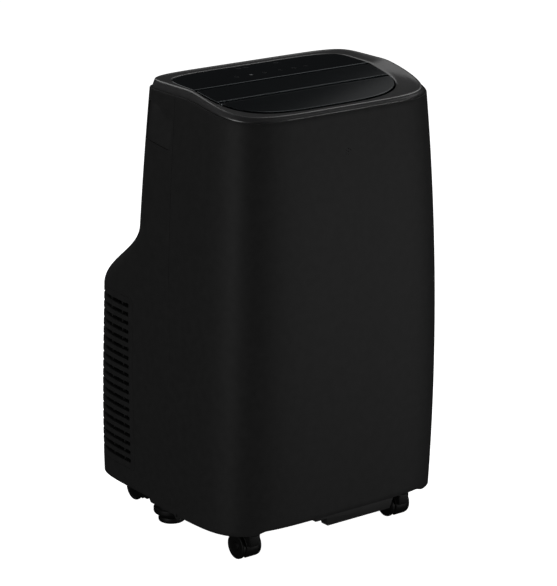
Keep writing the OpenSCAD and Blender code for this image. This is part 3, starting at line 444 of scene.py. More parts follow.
def even_angles(a0, a1, count, outline):
    """Angles spaced evenly along an outline, closer together where it bends."""
    samples, bend = 4000, 84.0                   # bend: how many millimetres a radian of turn counts for
    angles = [a0 + (a1 - a0) * i / samples for i in range(samples + 1)]
    pts = [outline(a) for a in angles]
    total = [0.0]
    heading = None
    for p, q in zip(pts, pts[1:]):
        step = math.dist(p, q)
        turn = 0.0
        if step > 1e-6:
            new = math.atan2(q[1] - p[1], q[0] - p[0])
            if heading is not None:
                turn = abs((new - heading + math.pi) % (2 * math.pi) - math.pi)
            heading = new
        total.append(total[-1] + step + bend * turn)
    picked, k = [], 0
    for i in range(count + 1):
        goal = total[-1] * i / count
        while k < samples - 1 and total[k + 1] < goal:
            k += 1
        share = (goal - total[k]) / max(total[k + 1] - total[k], 1e-9)
        picked.append(angles[k] + (angles[k + 1] - angles[k]) * clamp(share))
    return picked


# ------------------------------------------------------------------ covers

LIP = 1.1                                        # rounding of the covers' free edges
SEAM_GAP = 0.12                                  # each cover is drawn back this far from the seam
SIDE_DROP, FRONT_CORNER_DROP = 4.8, 2.0          # how much lower the front cover's sides and corners hang
BOWL_DROP, BOWL_REAR_Y = 7.0, 29.0               # the rear cover hangs lower beside the bowl, up to here
LOBE_AT, LOBE_R, LOBE_HOLE_R = (-40.0, 51.0), 6.5, 2.1
SENSOR_Z, PIN_HOLE_R, PIN_HOLE_RING_R = 611.0, 0.75, 4.2
SCREWS = [(-150, 74), (150, 74), (-168, 486), (168, 486), (-150, 672), (150, 672)]
SCREW_HOLE_R = 4.6
GRIP_OUTLINE = ((44.0, 670.5), (-14.0, 663.5), (-21.5, 656.5), (-17.5, 605.5), (44.0, 612.0))
GRIP_CORNER_R = 7.0
SOCKET_AT, SOCKET_HOLE_R = (60.0, 250.0), 87.0
DRAIN_AT, DRAIN_HALF_W, DRAIN_HALF_H = (60.0, 106.0), 33.5, 18.5
CORD_AT, CORD_HOLE_R = (140.0, 100.0), 12.6
GRILLE_SIDE_Y, GRILLE_REAR_X, GRILLE_LO_Z, GRILLE_HI_Z = 69.0, -45.0, 88.0, 363.0
SLOT_LO_Z, SLOT_PITCH, SLOT_H, SLOT_COUNT = 98.4, 13.76, 6.6, 19


def skirt_at(x, y):
    """Lower edge of the covers, with a round lobe for a screw on each side."""
    if y > SEAM_Y:
        return SKIRT_Z - BOWL_DROP * (1 - smooth((y - BOWL_REAR_Y) / 5))
    low = SKIRT_Z - (SIDE_DROP + FRONT_CORNER_DROP * clamp((y + 190) / 120)) * smooth((abs(x) - 141) / 20)
    away = abs(y - LOBE_AT[0])
    if away < LOBE_R:
        low = min(low, LOBE_AT[1] - math.sqrt(LOBE_R ** 2 - away ** 2))
    return low


def cover_shell(angles, levels):
    """Shell of the case between two angles, its edges rounded and drawn back from the seam."""
    sections = []
    inner_levels = 24
    for j, a in enumerate(angles):
        near = min(j, len(angles) - 1 - j)
        draw = (0.5, 0.12, 0.0)[min(near, 2)]
        low, high = skirt_at(*case_pt(a, SKIRT_Z)), edge_at(a)
        outer = [(WALL, low + 0.2), (LIP, low), (LIP * 0.3, low + LIP * 0.3), (0, low + LIP)]
        outer += [(0, low + LIP + (high - low - 2 * LIP) * i / levels) for i in range(1, levels)]
        outer += [(0, high - LIP), (LIP * 0.3, high - LIP * 0.3), (LIP, high), (WALL, high - 0.2)]
        inner = [(WALL, high - 0.2 - (high - low - 0.4) * i / inner_levels) for i in range(1, inner_levels)]
        section = []
        for inset, z in outer + inner:
            x, y = case_pt(a, z, max(inset, draw))
            section.append((x, y + (SEAM_GAP if y >= SEAM_Y else -SEAM_GAP), z))
        sections.append(section)
    return tube(sections)


def seam_angles(a0, a1, count):
    """Angles of one cover, with extra columns close to both seams and beside the bowl and the lobe."""
    angles = even_angles(a0, a1, count, lambda a: case_pt(a, 300))
    for away in (0.3, 0.9, *range(2, 23), *range(53, 61)):
        front = math.degrees(math.asin((away / (SEAM_Y - front_y(300))) ** (CORNER_FRONT / 2)))
        rear = math.degrees(math.asin((away / (rear_y(300) - SEAM_Y)) ** (CORNER_REAR / 2)))
        angles += [a for a in (rear, 180 - rear, 180 + front, 360 - front) if a0 < a < a1]
    return sorted(angles)


def front_cover():
    pin_holes = [(0.0, SENSOR_Z)]
    for k in range(6):
        g = math.radians(60 * k + 30)
        pin_holes.append((PIN_HOLE_RING_R * math.cos(g), SENSOR_Z + PIN_HOLE_RING_R * math.sin(g)))
    cuts = [prism(ring_of(x, z, PIN_HOLE_R, 16), "y", -202, -180) for x, z in pin_holes]
    cuts += [prism(ring_of(*LOBE_AT, LOBE_HOLE_R, 20), "x", s * 198, s * 208) for s in (-1, 1)]
    shell = cover_shell(seam_angles(180, 360, 170), 90)
    piece("front_cover_skin", *shell, "case", "cover_front", ["front_cover"], cut=cuts)


def grille_gap(inset):
    """Solid that takes the grille's place out of the case wall."""
    side = round_rect(GRILLE_SIDE_Y + inset, GRILLE_LO_Z + inset, 260, GRILLE_HI_Z - inset, 8)
    return prism(side, "x", -230, GRILLE_REAR_X - inset)


def rear_cover():
    (drain_x, drain_z), y0, y1 = DRAIN_AT, 180, 202
    intake = [on_upper_wall(y, z) for y, z in ((-30, -4), (12, -4), (12, 178), (-30, 178))]
    drain = round_rect(drain_x - DRAIN_HALF_W, drain_z - DRAIN_HALF_H,
                       drain_x + DRAIN_HALF_W, drain_z + DRAIN_HALF_H, 3)
    cuts = [prism(soft_outline(GRIP_OUTLINE, GRIP_CORNER_R), "x", s * 160, s * 215) for s in (-1, 1)]
    cuts.append(grille_gap(0.0))
    cuts.append(prism(intake, "x", -133, 133))
    cuts.append(prism(ring_of(*SOCKET_AT, SOCKET_HOLE_R, 96), "y", y0, y1))
    cuts.append(prism(drain, "y", y0, y1))
    cuts.append(prism(ring_of(*CORD_AT, CORD_HOLE_R, 48), "y", y0, y1))
    cuts += [prism(ring_of(x, z, SCREW_HOLE_R, 24), "y", rear_at(x, z) - 4, 206) for x, z in SCREWS]
    shell = cover_shell(seam_angles(0, 180, 260), 150)
    piece("rear_cover_skin", *shell, "case", "cover_rear", ["rear_cover"], cut=cuts)


def corner_post(lo, hi):
    """Upright just inside the turn of the corner, following the case as its corner changes."""
    across, along = Vector((-0.8, 0.6)), Vector((0.6, 0.8))
    rings = []
    for k in range(13):
        z = lo + (hi - lo) * k / 12
        edge = Vector(max((case_pt(a, z) for a in range(91, 180)), key=lambda p: Vector(p).dot(across)))
        corners = ((2.6, -2), (2.6, 2), (7, 2), (7, -2))
        rings.append([(*(edge - across * inward + along * side), z) for inward, side in corners])
    return tube(rings)


def corner_grille():
    """Grille: a thick strip round the corner with slots cut through it, and ribs behind the slots."""
    deep, beyond = 8.5, 12.0
    height = GRILLE_HI_Z - GRILLE_LO_Z + 2 * beyond
    sections = []
    for a in even_angles(90.2, 179.6, 130, lambda a: case_pt(a, 230)):
        outer = [(0.05, GRILLE_LO_Z - beyond + height * i / 40) for i in range(41)]
        inner = [(deep, GRILLE_HI_Z + beyond - height * i / 12) for i in range(13)]
        sections.append([(*case_pt(a, z, inset), z) for inset, z in outer + inner])
    body = piece("corner_grille_body", *tube(sections), "case", "cover_rear", ["corner_grille"])
    carve(body, [grille_gap(0.35)], "INTERSECT")
    slots = []
    for i in range(SLOT_COUNT):
        z0 = SLOT_LO_Z + SLOT_PITCH * i
        slots.append(prism(round_rect(80, z0, 260, z0 + SLOT_H, 2.0, 4), "x", -230, -55))
    carve(body, slots)
    dress(body, LOOKS["cover_rear"], 28)

    lo, hi = GRILLE_LO_Z + 5, GRILLE_HI_Z - 5
    thick, wide = 2.4, 5.0
    ribs = []
    for y in (101, 133):
        x = -side_x(y, GRILLE_HI_Z) + 3
        ribs.append(box((x, y, lo), (x + wide, y + thick, hi)))
    for x in (-140, -98):
        y = rear_at(x, GRILLE_HI_Z) - 3
        ribs.append(box((x, y - wide, lo), (x + thick, y, hi)))
    ribs.append(corner_post(lo, hi))
    piece("corner_grille_ribs", *several(*ribs), "case", "cover_rear")


def grip_depth(y, z):
    """How deep the grip pocket is at a place: a slope that ends under the upper lip, fading to the rear."""
    return 15.0 * clamp((z - 604) / 58) ** 1.15 * smooth((50 - y) / 40)


def grip_pocket(name, node, side):
    """Grip: loops of the opening's outline, from a flange behind the cover to the pocket's middle."""
    outline = [Vector(p) for p in soft_outline(GRIP_OUTLINE, GRIP_CORNER_R)]
    centre = sum(outline, Vector((0, 0))) / len(outline)

    def loop(spots, depth_at):
        return [(side * (side_x(*q) - depth_at(*q)), *q) for q in spots]

    def grown(offset):
        return [p + (p - centre).normalized() * offset for p in outline]

    loops = []
    for offset, depth in ((3.5, 3.4), (-0.7, 3.4), (-0.72, 1.0)):
        loops.append(loop(grown(offset), lambda y, z: depth))
    loops.append(loop(grown(-0.8), lambda y, z: max(0.35, grip_depth(y, z))))
    for k in range(1, 16):
        share = k / 15.6
        shallow = 0.25 + 0.1 * (1 - smooth(share * 9))
        spots = [centre + (p - centre) * (1 - share) for p in outline]
        loops.append(loop(spots, lambda y, z: max(grip_depth(y, z), shallow)))
    front, faces = grid(loops, loop_cols=True)
    back, back_faces = grid([[(x - side * 2.0, y, z) for x, y, z in row] for row in loops],
                            loop_cols=True, first=len(front))
    m, start = len(outline), len(front)
    faces.append([start - m + j for j in range(m)])
    faces += [f[::-1] for f in back_faces]
    faces.append([2 * start - m + j for j in range(m)][::-1])
    faces += [[j, (j + 1) % m, start + (j + 1) % m, start + j] for j in range(m)]
    piece(name, front + back, faces, "case", "cover_rear", [node])


# ------------------------------------------------------------------ top

RIM_INSET, CREST_R = 3.1, 2.6
LIP_DROP = 1.8                                   # the rim's lip lies this far below the flaps' edge
LEAF_COLUMNS, LEAF_PITCH = 44, 2.4
PANEL_T, PANEL_EDGE_R, PANEL_GAP = 2.5, 1.1, 0.6
FLAP_T, FLAP_EDGE_R, FLAP_GAP = 2.6, 0.5, 2.4
BARREL_R = 5.5                                   # rolled rear edge of each flap
HINGES = {"rear": PANEL_FRONT_Y - 0.8 - BARREL_R, "front": LOUVRE_SPLIT_Y - 1 - BARREL_R}
CRANK, CRANK_BACK = 16.0, math.radians(44.5)     # length of each flap's crank, and how far back it leans


def top_ring():
    """Rim round the top: leaning outer wall, rounded crest, slope down to the mouth."""
    sections = []
    for a in even_angles(0, 360, 300, lambda a: case_pt(a, 690, 4))[:-1]:
        low = edge_at(a) + 0.8
        crest = low - 0.8 + rise_at(case_pt(a, low, 3)[1])
        mx, my = mouth_pt(a)
        lip = top_z(my) - LIP_DROP * smooth((PANEL_FRONT_Y - my) / 30)
        wall = [(5.5, low - 7), (3.4, low - 3), (RIM_INSET, low)]
        for t in (0.2, 0.4, 0.6, 0.8):
            wall.append((RIM_INSET + 2.6 * t ** 1.3, low + (crest - 2.2 - low) * t))
        for k in range(8):
            g = math.radians(14 + 116 * k / 7)
            wall.append((8.2 - CREST_R * math.cos(g), crest - CREST_R + CREST_R * math.sin(g)))
        section = [(*case_pt(a, low, inset), z) for inset, z in wall]
        ix, iy = case_pt(a, low, 10.6)
        top = crest - 1.0
        for k in range(1, 8):
            t = k / 8
            sag = 0.28 * math.sin(math.pi * t)
            section.append((ix + (mx - ix) * t, iy + (my - iy) * t, top + (lip + 0.5 - top) * t - sag))
        section.append((mx, my, lip + 0.1))
        inward = Vector((mx, my - PANEL_FRONT_Y)).normalized() * 0.35
        section += [(mx - inward.x, my - inward.y, lip - down) for down in (0.5, 2.2)]
        section.append((*case_pt(a, low, 10.5), min(crest - 3.4, lip + 4)))
        sections.append(section)
    rim = grid(sections, loop_rows=True, loop_cols=True)
    piece("rim_band", *rim, "case", "rim", ["top_ring"], sharp=50)


def leaf(y_front, y_rear, thick, edge_r, gap):
    """Solid leaf that fills the mouth's outline between two depths, its upper edge rounded."""
    y_min, y_max = PANEL_FRONT_Y - MOUTH_DEPTH + gap, PANEL_FRONT_Y + PANEL_DEPTH - gap
    at_front, at_rear = y_front <= y_min, y_rear >= y_max
    y0, y1 = max(y_front, y_min), min(y_rear, y_max)
    # Rows start close together: at a curved end because its outline turns, at a straight one to round it.
    curved = [0.002, 0.01, 0.03, 0.08, 0.16, 0.3, 0.5, 0.8, 1.2, 1.8, 2.6, 3.6, 5.0, 7.0, 9.5]
    straight = [edge_r * t for t in (0.0, 0.08, 0.25, 0.55, 1.0, 1.6)]
    start, end = (curved if at_front else straight), (curved if at_rear else straight)
    middle_0, middle_1 = y0 + start[-1], y1 - end[-1]
    count = max(round((middle_1 - middle_0) / LEAF_PITCH), 2)
    rows = [y0 + t for t in start[:-1]]
    rows += [middle_0 + (middle_1 - middle_0) * k / count for k in range(count + 1)]
    rows += [y1 - t for t in reversed(end[:-1])]
    surface = []
    for y in rows:
        half = mouth_half_w(y, gap)
        ends = [edge_r * t for t in (0.0, 0.1, 0.3, 0.6, 1.0, 1.7)]
        if half < 40:
            ends = [min(e, half * 0.012 * (k + 1)) for k, e in enumerate(ends)]
        reach = half - ends[-1]
        marks = [reach * k / (LEAF_COLUMNS - 1) for k in range(LEAF_COLUMNS)]
        marks += [half - e for e in reversed(ends[:-1])]
        line = []
        for x in [-v for v in reversed(marks[1:])] + marks:
            level, slope = mouth_level(x, y, gap)
            d = max((1 - level) / slope, 0.0)
            if not at_front:
                d = min(d, y - y0)
            if not at_rear:
                d = min(d, y1 - y)
            drop = edge_r - math.sqrt(max(edge_r ** 2 - max(edge_r - d, 0.0) ** 2, 0.0))
            line.append((x, y, top_z(y) - drop))
        surface.append(line)
    n, m = len(surface), len(surface[0])
    points, faces = grid(surface)
    first = len(points)
    under = [[(x, y, top_z(y) - thick) for x, y, _ in row] for row in surface]
    under_points, under_faces = grid(under, first=first)
    faces += [f[::-1] for f in under_faces]
    border = list(range(m)) + [i * m + m - 1 for i in range(1, n)]
    border += [(n - 1) * m + j for j in range(m - 2, -1, -1)] + [i * m for i in range(n - 2, 0, -1)]
    faces += [[p, first + p, first + q, q] for p, q in zip(border, border[1:] + border[:1])]
    return points + under_points, faces


def control_panel():
    glass = leaf(PANEL_FRONT_Y + 0.1, 200, PANEL_T, PANEL_EDGE_R, PANEL_GAP)
    piece("control_panel_glass", *glass, "case", "panel", ["control_panel"], sharp=60)


def flap(name, node, hinge_y, y_front):
    """Flap: a curved leaf with a rolled rear edge round its pivot line, its pivots and its crank.

    The flap's body has the name of its node.
    """
    hinge_z = top_z(hinge_y) - BARREL_R
    half = MOUTH_HALF_W - 5
    roll = []
    for x, cut in ((-half, 0.6), (-half + 0.4, 0.02), (half - 0.4, 0.02), (half, 0.6)):
        r = BARREL_R - cut
        angles = [math.radians(g) for g in range(-30, 330, 10)]
        roll.append([(x, hinge_y + r * math.sin(g), hinge_z + r * math.cos(g)) for g in angles])
    pivots = [turned([(1.75, s * (half - 2)), (1.75, s * 164.0), (1.3, s * 164.4)], "x",
                     (0, hinge_y, hinge_z), 24) for s in (-1, 1)]
    hinge = Vector((hinge_y, hinge_z))
    direction = Vector((math.sin(CRANK_BACK), -math.cos(CRANK_BACK)))
    across = Vector((-direction.y, direction.x))
    tip = hinge + direction * CRANK
    outline = []
    for centre, way in ((tip, 3.4), (hinge, -3.4)):
        for k in range(9):
            g = math.pi * k / 8
            outline.append(tuple(centre + (across * math.cos(g) + direction * math.sin(g)) * way))
    arm = prism(outline, "x", 151, 154)
    pin = turned([(1.5, 0), (1.5, 5.0)], "x", (146.5, *tip), 24)
    surface = leaf(y_front, hinge_y, FLAP_T, FLAP_EDGE_R, FLAP_GAP)
    piece(name, *several(surface, tube(roll), *pivots, arm, pin), node, "louvre", [node], sharp=50)


MARK_LIFT, MARK_SUNK = 0.06, -0.15               # top and underside of a printed stroke from the glass
KEY_ROW_Y, DISPLAY_Y = -2.5, 36.0
LIT_KEY = 1


def icon_strokes():
    """Generic key symbols: for each, its place along the row and its lines about that place."""
    rays = []
    for a in (30, 90, 150):
        u, v = 3.6 * math.cos(math.radians(a)), 3.6 * math.sin(math.radians(a))
        rays.append([(-u, -v), (u, v)])
    power = [arc(0, 0, 3.2, 120, 420), [(0, 1.0), (0, 4.2)]]
    fan = [arc(u, v, 1.6, 0, 360) for u, v in ((0, 1.7), (1.5, -0.9), (-1.5, -0.9))]
    moon = [arc(0, 0, 3.2, 60, 300), arc(1.8, 0, 2.3, 90, 270)]
    clock = [arc(0, 0, 3.2, 0, 360), [(0, 2.0), (0, 0), (1.6, 0)]]
    sweep = [arc(0, -2.6, r, 40, 140) for r in (3.2, 5.4)]
    return [(-62, power), (-36, rays), (-11, fan), (19, moon), (43, clock), (66, sweep)]


def stroke_mesh(lines, width, cx, cy):
    """Thin strips along lines, lying on the panel."""
    points, faces = [], []
    for line in lines:
        n, start = len(line), len(points)
        pairs = []
        for i, p in enumerate(line):
            a, b = Vector(line[max(i - 1, 0)]), Vector(line[min(i + 1, n - 1)])
            t = (b - a).normalized()
            pairs.append((p[0] - t.y * width / 2, p[1] + t.x * width / 2))
            pairs.append((p[0] + t.y * width / 2, p[1] - t.x * width / 2))
        for lift in (MARK_LIFT, MARK_SUNK):
            points += [(cx + u, cy + v, top_z(cy + v) + lift) for u, v in pairs]
        under = start + 2 * n
        for k in range(0, 2 * n - 2, 2):
            faces.append([start + k + j for j in (0, 1, 3, 2)])
            faces.append([under + k + j for j in (2, 3, 1, 0)])
            faces.append([start + k, start + k + 2, under + k + 2, under + k])
            faces.append([start + k + 3, start + k + 1, under + k + 1, under + k + 3])
        for k in (0, 2 * n - 2):
            faces.append([start + k, start + k + 1, under + k + 1, under + k])
    return points, faces


def markings():
    for i, (x, lines) in enumerate(icon_strokes()):
        strokes = stroke_mesh(lines, 0.7 if i == LIT_KEY else 0.55, x, KEY_ROW_Y)
        piece(f"key_mark_{i + 1}", *strokes, "case", MARKING_BRIGHT if i == LIT_KEY else MARKING)
    bars = [[(x - 4.5, y), (x + 4.5, y)] for x in (-29, -17, 40) for y in (0, 3.5)]
    piece("display_marks", *stroke_mesh(bars, 0.8, 0, DISPLAY_Y), "case", MARKING)


# ------------------------------------------------------------------ base and casters

CASTERS = {"front_left": (-142, -145), "front_right": (142, -145),
           "rear_left": (-130, 145), "rear_right": (130, 145)}
CASTER_TRAIL, WHEEL_R = 17.0, 20.0
HOOD_R, HOOD_HALF, HOOD_LO_Z = 21.6, 10.8, 4.4
WHEEL_IN, WHEEL_OUT = 11.2, 17.5                 # inner and outer faces of a wheel from the hood's middle
TRAY_Z, TRAY_HI_Z = 52.0, 80.0
BOWL_AT = (-175.5, 14.0)


def caster(name):
    """Twin wheels either side of a hood that comes down in front, on a swivel stem."""
    x, y = CASTERS[name]
    axle = (x, y + CASTER_TRAIL, WHEEL_R)
    # From low in front, up over the top, and down to the rear of the axle.
    side = [(u, max(v, HOOD_LO_Z)) for u, v in arc(axle[1], axle[2], HOOD_R, 228, -22, 48)]
    hood = prism(side, "x", x - HOOD_HALF, x + HOOD_HALF)
    neck = prism([(y - 9.5, 24), (axle[1] - 2, 24), (axle[1] + 4, 43.5), (y - 9.5, 45.5)], "x",
                 x - 9.6, x + 9.6)
    piece(f"caster_hood_{name}", *several(hood, neck), f"fork_{name}", "caster", [f"caster_fork_{name}"],
          soften=1.1)
    stem = turned_soft([(0.01, 40.5), (12.4, 40.5), (12.4, 49), (7, 49), (7, 49.6), (5.5, 49.6), (5.5, 69.5),
                        (0.01, 69.5)], "z", (x, y, 0), 48)
    piece(f"caster_stem_{name}", *stem, f"fork_{name}", "caster")
    # A wheel from its inner face over the tread and its raised edge to the dished disc and the hub.
    profile = [(3.0, WHEEL_IN), (17.4, WHEEL_IN), (19.6, WHEEL_IN + 0.6), (20.0, WHEEL_IN + 1.6),
               (20.0, WHEEL_OUT - 2.0), (19.5, WHEEL_OUT - 0.7), (18.4, WHEEL_OUT), (16.2, WHEEL_OUT),
               (15.6, WHEEL_OUT - 1.4), (7.0, WHEEL_OUT - 1.9), (6.4, WHEEL_OUT - 0.3),
               (5.6, WHEEL_OUT + 0.1), (0.01, WHEEL_OUT + 0.3)]
    wheels = [turned_soft([(r, s * t) for r, t in profile], "x", axle, 72, 0.35) for s in (-1, 1)]
    wheels.append(turned([(3.0, -WHEEL_OUT + 1), (3.0, WHEEL_OUT - 1)], "x", axle, 32))
    piece(f"caster_twin_{name}", *several(*wheels), f"wheels_{name}", "caster", [f"caster_wheels_{name}"],
          sharp=40)


def case_outline(z, inset):
    return [case_pt(a, z, inset) for a in even_angles(0, 360, 120, lambda a: case_pt(a, z, inset))[:-1]]


def base_tray():
    """Tray under the covers: ribbed floor, caster bosses, wall, front lip, bowl and tab."""
    lip = prism([(-57, 57.5), (-55, 52.4), (-35, 52.4), (-32.5, 41), (86.5, 41), (94, 57.5)], "y", -188, -172)
    piece("base_lip", *lip, "case", "cover_rear", soften=1.2)

    solids = [prism(case_outline(60, 12), "z", TRAY_Z, TRAY_Z + 5),
              prism(case_outline(60, 3.6), "z", TRAY_Z + 5, TRAY_Z + 7)]
    for x, y in CASTERS.values():
        boss = [(0.01, 50), (15, 50), (15, 60), (0.01, 60)]
        solids.append(turned_soft(boss, "z", (x, y, 0), 48, 1.0))
    rib, lo, hi = 1.2, TRAY_Z - 5, TRAY_Z + 1
    solids += [box((x - rib, -120, lo), (x + rib, 120, hi)) for x in range(-150, 151, 50)]
    solids += [box((-150, y - rib, lo), (150, y + rib, hi)) for y in (-110, -40, 60, 110)]
    piece("base_tray_body", *several(*solids), "case", "caster", ["base_tray"], soften=0.8)

    bowl = turned_soft([(9.2, 31.5), (17, 30.2), (21.4, 31.4), (22.2, 34.2), (26.4, 35), (27.6, 37),
                        (27.6, 43), (25, 46), (25, 54), (9.2, 54)], "z", (*BOWL_AT, 0), 72, 0.5)
    piece("base_bowl", *bowl, "case", "caster")
    tab = prism(round_rect(62, 40, 82, 58, 4.5), "x", -186, -181)
    tab_hole = prism(ring_of(73, 49, 2.4, 24), "x", -190, -178)
    piece("base_tab", *tab, "case", "caster", cut=[tab_hole], soften=0.5)

    outer, inner = case_outline(60, 4.3), case_outline(60, 7.3)
    loops = ((outer, TRAY_Z + 6), (outer, TRAY_HI_Z), (inner, TRAY_HI_Z), (inner, TRAY_Z + 6))
    wall = grid([[(x, y, z) for x, y in loop] for loop, z in loops], loop_rows=True, loop_cols=True)
    piece("base_wall", *wall, "case", "caster")


def sump_cap():
    cap = turned_soft([(0.01, 23.5), (7, 23.5), (7.6, 25.2), (15.6, 25.2), (16.2, 21.2), (19.1, 21),
                       (20.3, 22.2), (20.5, 26), (19.9, 29.6), (8.8, 29.6), (8.8, 36), (0.01, 36)],
                      "z", (*BOWL_AT, 0), 72, 0.5)
    bar = box((BOWL_AT[0] - 16, BOWL_AT[1] - 2.2, 22.2), (BOWL_AT[0] + 16, BOWL_AT[1] + 2.2, 26))
    piece("sump_cap_body", *several(cap, bar), "sump_cap", "caster", ["sump_cap"])


# ------------------------------------------------------------------ rear fittings

REAR_Y = BODY_D / 2
HOOK_X, HOOK_ZS = 146.0, (520.0, 640.0)


def exhaust_socket():
    """Ring that the hose turns into, with three lugs, on a square plate behind the cover."""
    x, z = SOCKET_AT
    profile = [(74, 160), (76.5, 160), (76.5, 194.5), (86, 194.5), (86, 196.2), (85, 197.3), (80, 197.5),
               (77.5, 196.4), (75.4, 196.8), (74, 195.4)]
    lugs = []
    for k in range(3):
        g = 360 * (k / 3 + 0.08)
        sweep = math.degrees(0.24)
        outline = arc(x, z, 74.3, g, g + sweep, 8) + arc(x, z, 71.8, g + sweep, g, 8)
        lugs.append(prism(outline, "y", 186, 190))
    plate = box((x - 80, 158.2, z - 80), (x + 80, 160.8, z + 80))
    hole = prism(ring_of(x, z, 75, 96), "y", 150, 170)
    piece("exhaust_socket_ring", *turned_ring(profile, x, z, 128), "case", "cover_rear", ["exhaust_socket"],
          sharp=40)
    piece("exhaust_socket_lugs", *several(*lugs), "case", "cover_rear", soften=0.4)
    piece("exhaust_socket_plate", *plate, "case", "cover_rear", cut=[hole], soften=0.4)


def filter_door():
    """Intake cover on the upper rear wall, its frame and the washable mesh behind it."""
    frame_solid = prism([(-134.5, -4.5), (134.5, -4.5), (134.5, 177), (-134.5, 177)], "y", -14, -0.8)
    cuts = [prism(round_rect(-130.3, -1.2, 130.3, INTAKE_H + 0.3, 3), "y", -12, 9),
            prism(round_rect(-122, 8, 122, 164, 5), "y", -20, 9)]
    piece("intake_frame", *tilted(frame_solid), "case", "cover_rear", ["filter_frame"],
          cut=[tilted(cut) for cut in cuts], soften=0.5)

    cover = prism(round_rect(-129.5, 2, 129.5, INTAKE_H - 1.2, 4), "y", -7, 0)
    cuts = [prism(round_rect(-127.3, 4.2, 127.3, INTAKE_H - 3.4, 3), "y", -9, -2.2)]
    for k in range(15):
        z = 14 + 9.6 * k
        for x0, x1 in ((-119.5, -42), (-38, 38), (42, 119.5)):
            cuts.append(prism(round_rect(x0, z, x1, z + 5.4, 2.2, 4), "y", -9, 3))
    piece("intake_cover", *tilted(cover), "filter_door", "cover_rear", ["filter_cover"],
          cut=[tilted(cut) for cut in cuts], soften=0.35)
    pivot = (0, *on_upper_wall(-5, 6))
    pins = [turned([(2.0, s * 125.5), (2.0, s * 133.8)], "x", pivot, 24) for s in (-1, 1)]
    piece("intake_cover_pins", *several(*pins), "filter_door", "cover_rear")
    grip = prism(round_rect(-18, INTAKE_H - 12.5, 18, INTAKE_H - 5.5, 2.4), "y", -1.0, 1.1)
    piece("intake_cover_grip", *tilted(grip), "filter_door", "cover_rear", soften=0.5)

    # Frame bars of the mesh, then its threads up and across.
    thread, pitch = 0.25, 3
    bars = [box((x - 1, -5.6, 9), (x + 1, -3, INTAKE_H - 6)) for x in (-125, -42.6, 42.6, 125)]
    bars += [box((-126, -5.6, z), (126, -3, z + 2)) for z in (9, 60, 112, INTAKE_H - 8)]
    for k in range(84):
        x = -124.5 + pitch * k
        bars.append(box((x - thread, -4.5, 10), (x + thread, -4.1, INTAKE_H - 7)))
    for k in range(51):
        z = 11 + pitch * k
        bars.append(box((-125, -4.35, z - thread), (125, -3.95, z + thread)))
    piece("filter_screen", *tilted(several(*bars)), "filter_door", "mesh", ["filter_mesh"])


def drain_fittings():
    (x, z), half_w_in, half_h_in = DRAIN_AT, 31, 16
    cup = prism(round_rect(x - 33, z - 18, x + 33, z + 18, 2.6), "y", REAR_Y - 20, REAR_Y - 0.6)
    hollow = prism(round_rect(x - half_w_in, z - half_h_in, x + half_w_in, z + half_h_in, 2.0), "y",
                   REAR_Y - 18, REAR_Y + 9)
    piece("drain_recess", *cup, "case", "cover_rear", ["drain_spigot"], cut=[hollow], soften=0.5)
    spout = [(5, REAR_Y - 34), (7, REAR_Y - 34), (7, REAR_Y - 9), (7.7, REAR_Y - 7), (7, REAR_Y - 4.6),
             (6.6, REAR_Y - 4), (5, REAR_Y - 4)]
    piece("drain_spout", *turned_ring(spout, x, z, 64), "case", "cover_rear", sharp=40)
    plug = turned_soft([(0.01, REAR_Y - 14), (4.6, REAR_Y - 14), (4.94, REAR_Y - 12.5), (4.94, REAR_Y - 3.8),
                        (6.6, REAR_Y - 3.8), (6.6, REAR_Y - 1.8), (0.01, REAR_Y - 1.5)],
                       "y", (x, 0, z), 48, 0.4)
    tab = prism(round_rect(x - 1.3, z - 5, x + 1.3, z + 5, 1.2), "y", REAR_Y - 2.2, REAR_Y - 0.1)
    piece("drain_stopper", *several(plug, tab), "drain_plug", "rubber", ["drain_plug"])


def cord_fittings():
    """Grommet that the mains lead would pass through, and two hooks to wind it on."""
    face = REAR_Y - 3
    profile = [(4.5, face - 26), (7.5, face - 26), (7.5, face - 10), (15, face - 10), (15, face - 7),
               (12, face - 7), (12, face - 1), (11, face), (6, face), (4.5, face - 1.4)]
    piece("cord_gland_ring", *turned_ring(profile, *CORD_AT, 64), "case", "rubber", ["cord_gland"], sharp=40)
    hooks = []
    for hook_z, z0, z1 in ((HOOK_ZS[0], -30, 8), (HOOK_ZS[1], -8, 30)):
        y0 = rear_at(HOOK_X - 7, hook_z - 8) + 0.3
        post = [(0.01, y0), (7, y0), (6.4, y0 + 3), (6.2, y0 + 18), (0.01, y0 + 18)]
        hooks.append(turned_soft(post, "y", (HOOK_X, 0, hook_z), 48, 0.8))
        hooks.append(turned([(2.5, y0 - 9), (2.5, y0 + 1)], "y", (HOOK_X, 0, hook_z), 24))
        blade = round_rect(HOOK_X - 7, hook_z + z0, HOOK_X + 7, hook_z + z1, 5.5)
        hooks.append(prism(blade, "y", y0 + 17, y0 + 21.5))
    piece("cord_winders", *several(*hooks), "case", "cover_rear", ["cord_hooks"], soften=0.7)


def screws():
    """Pan head screws with a cross recess, each recess cut as three boxes that do not overlap."""
    solids, crosses = [], []
    arm, half_slot = 2.1, 0.4
    for x, z in SCREWS:
        y = rear_at(x, z) - 1.6
        profile = [(0.01, y - 16), (1.9, y - 16), (1.9, y - 2.4), (4, y - 2.4), (4, y - 0.9), (2.6, y - 0.1),
                   (0.01, y)]
        solids.append(turned_soft(profile, "y", (x, 0, z), 32, 0.2))
        for x_half, z0, z1 in ((arm, -half_slot, half_slot), (half_slot, -arm, -half_slot - 0.01),
                               (half_slot, half_slot + 0.01, arm)):
            crosses.append(box((x - x_half, y - 1.3, z + z0), (x + x_half, y + 1, z + z1)))
    piece("cross_screws", *several(*solids), "case", "screw", ["case_screws"], cut=crosses)


# ------------------------------------------------------------------ build

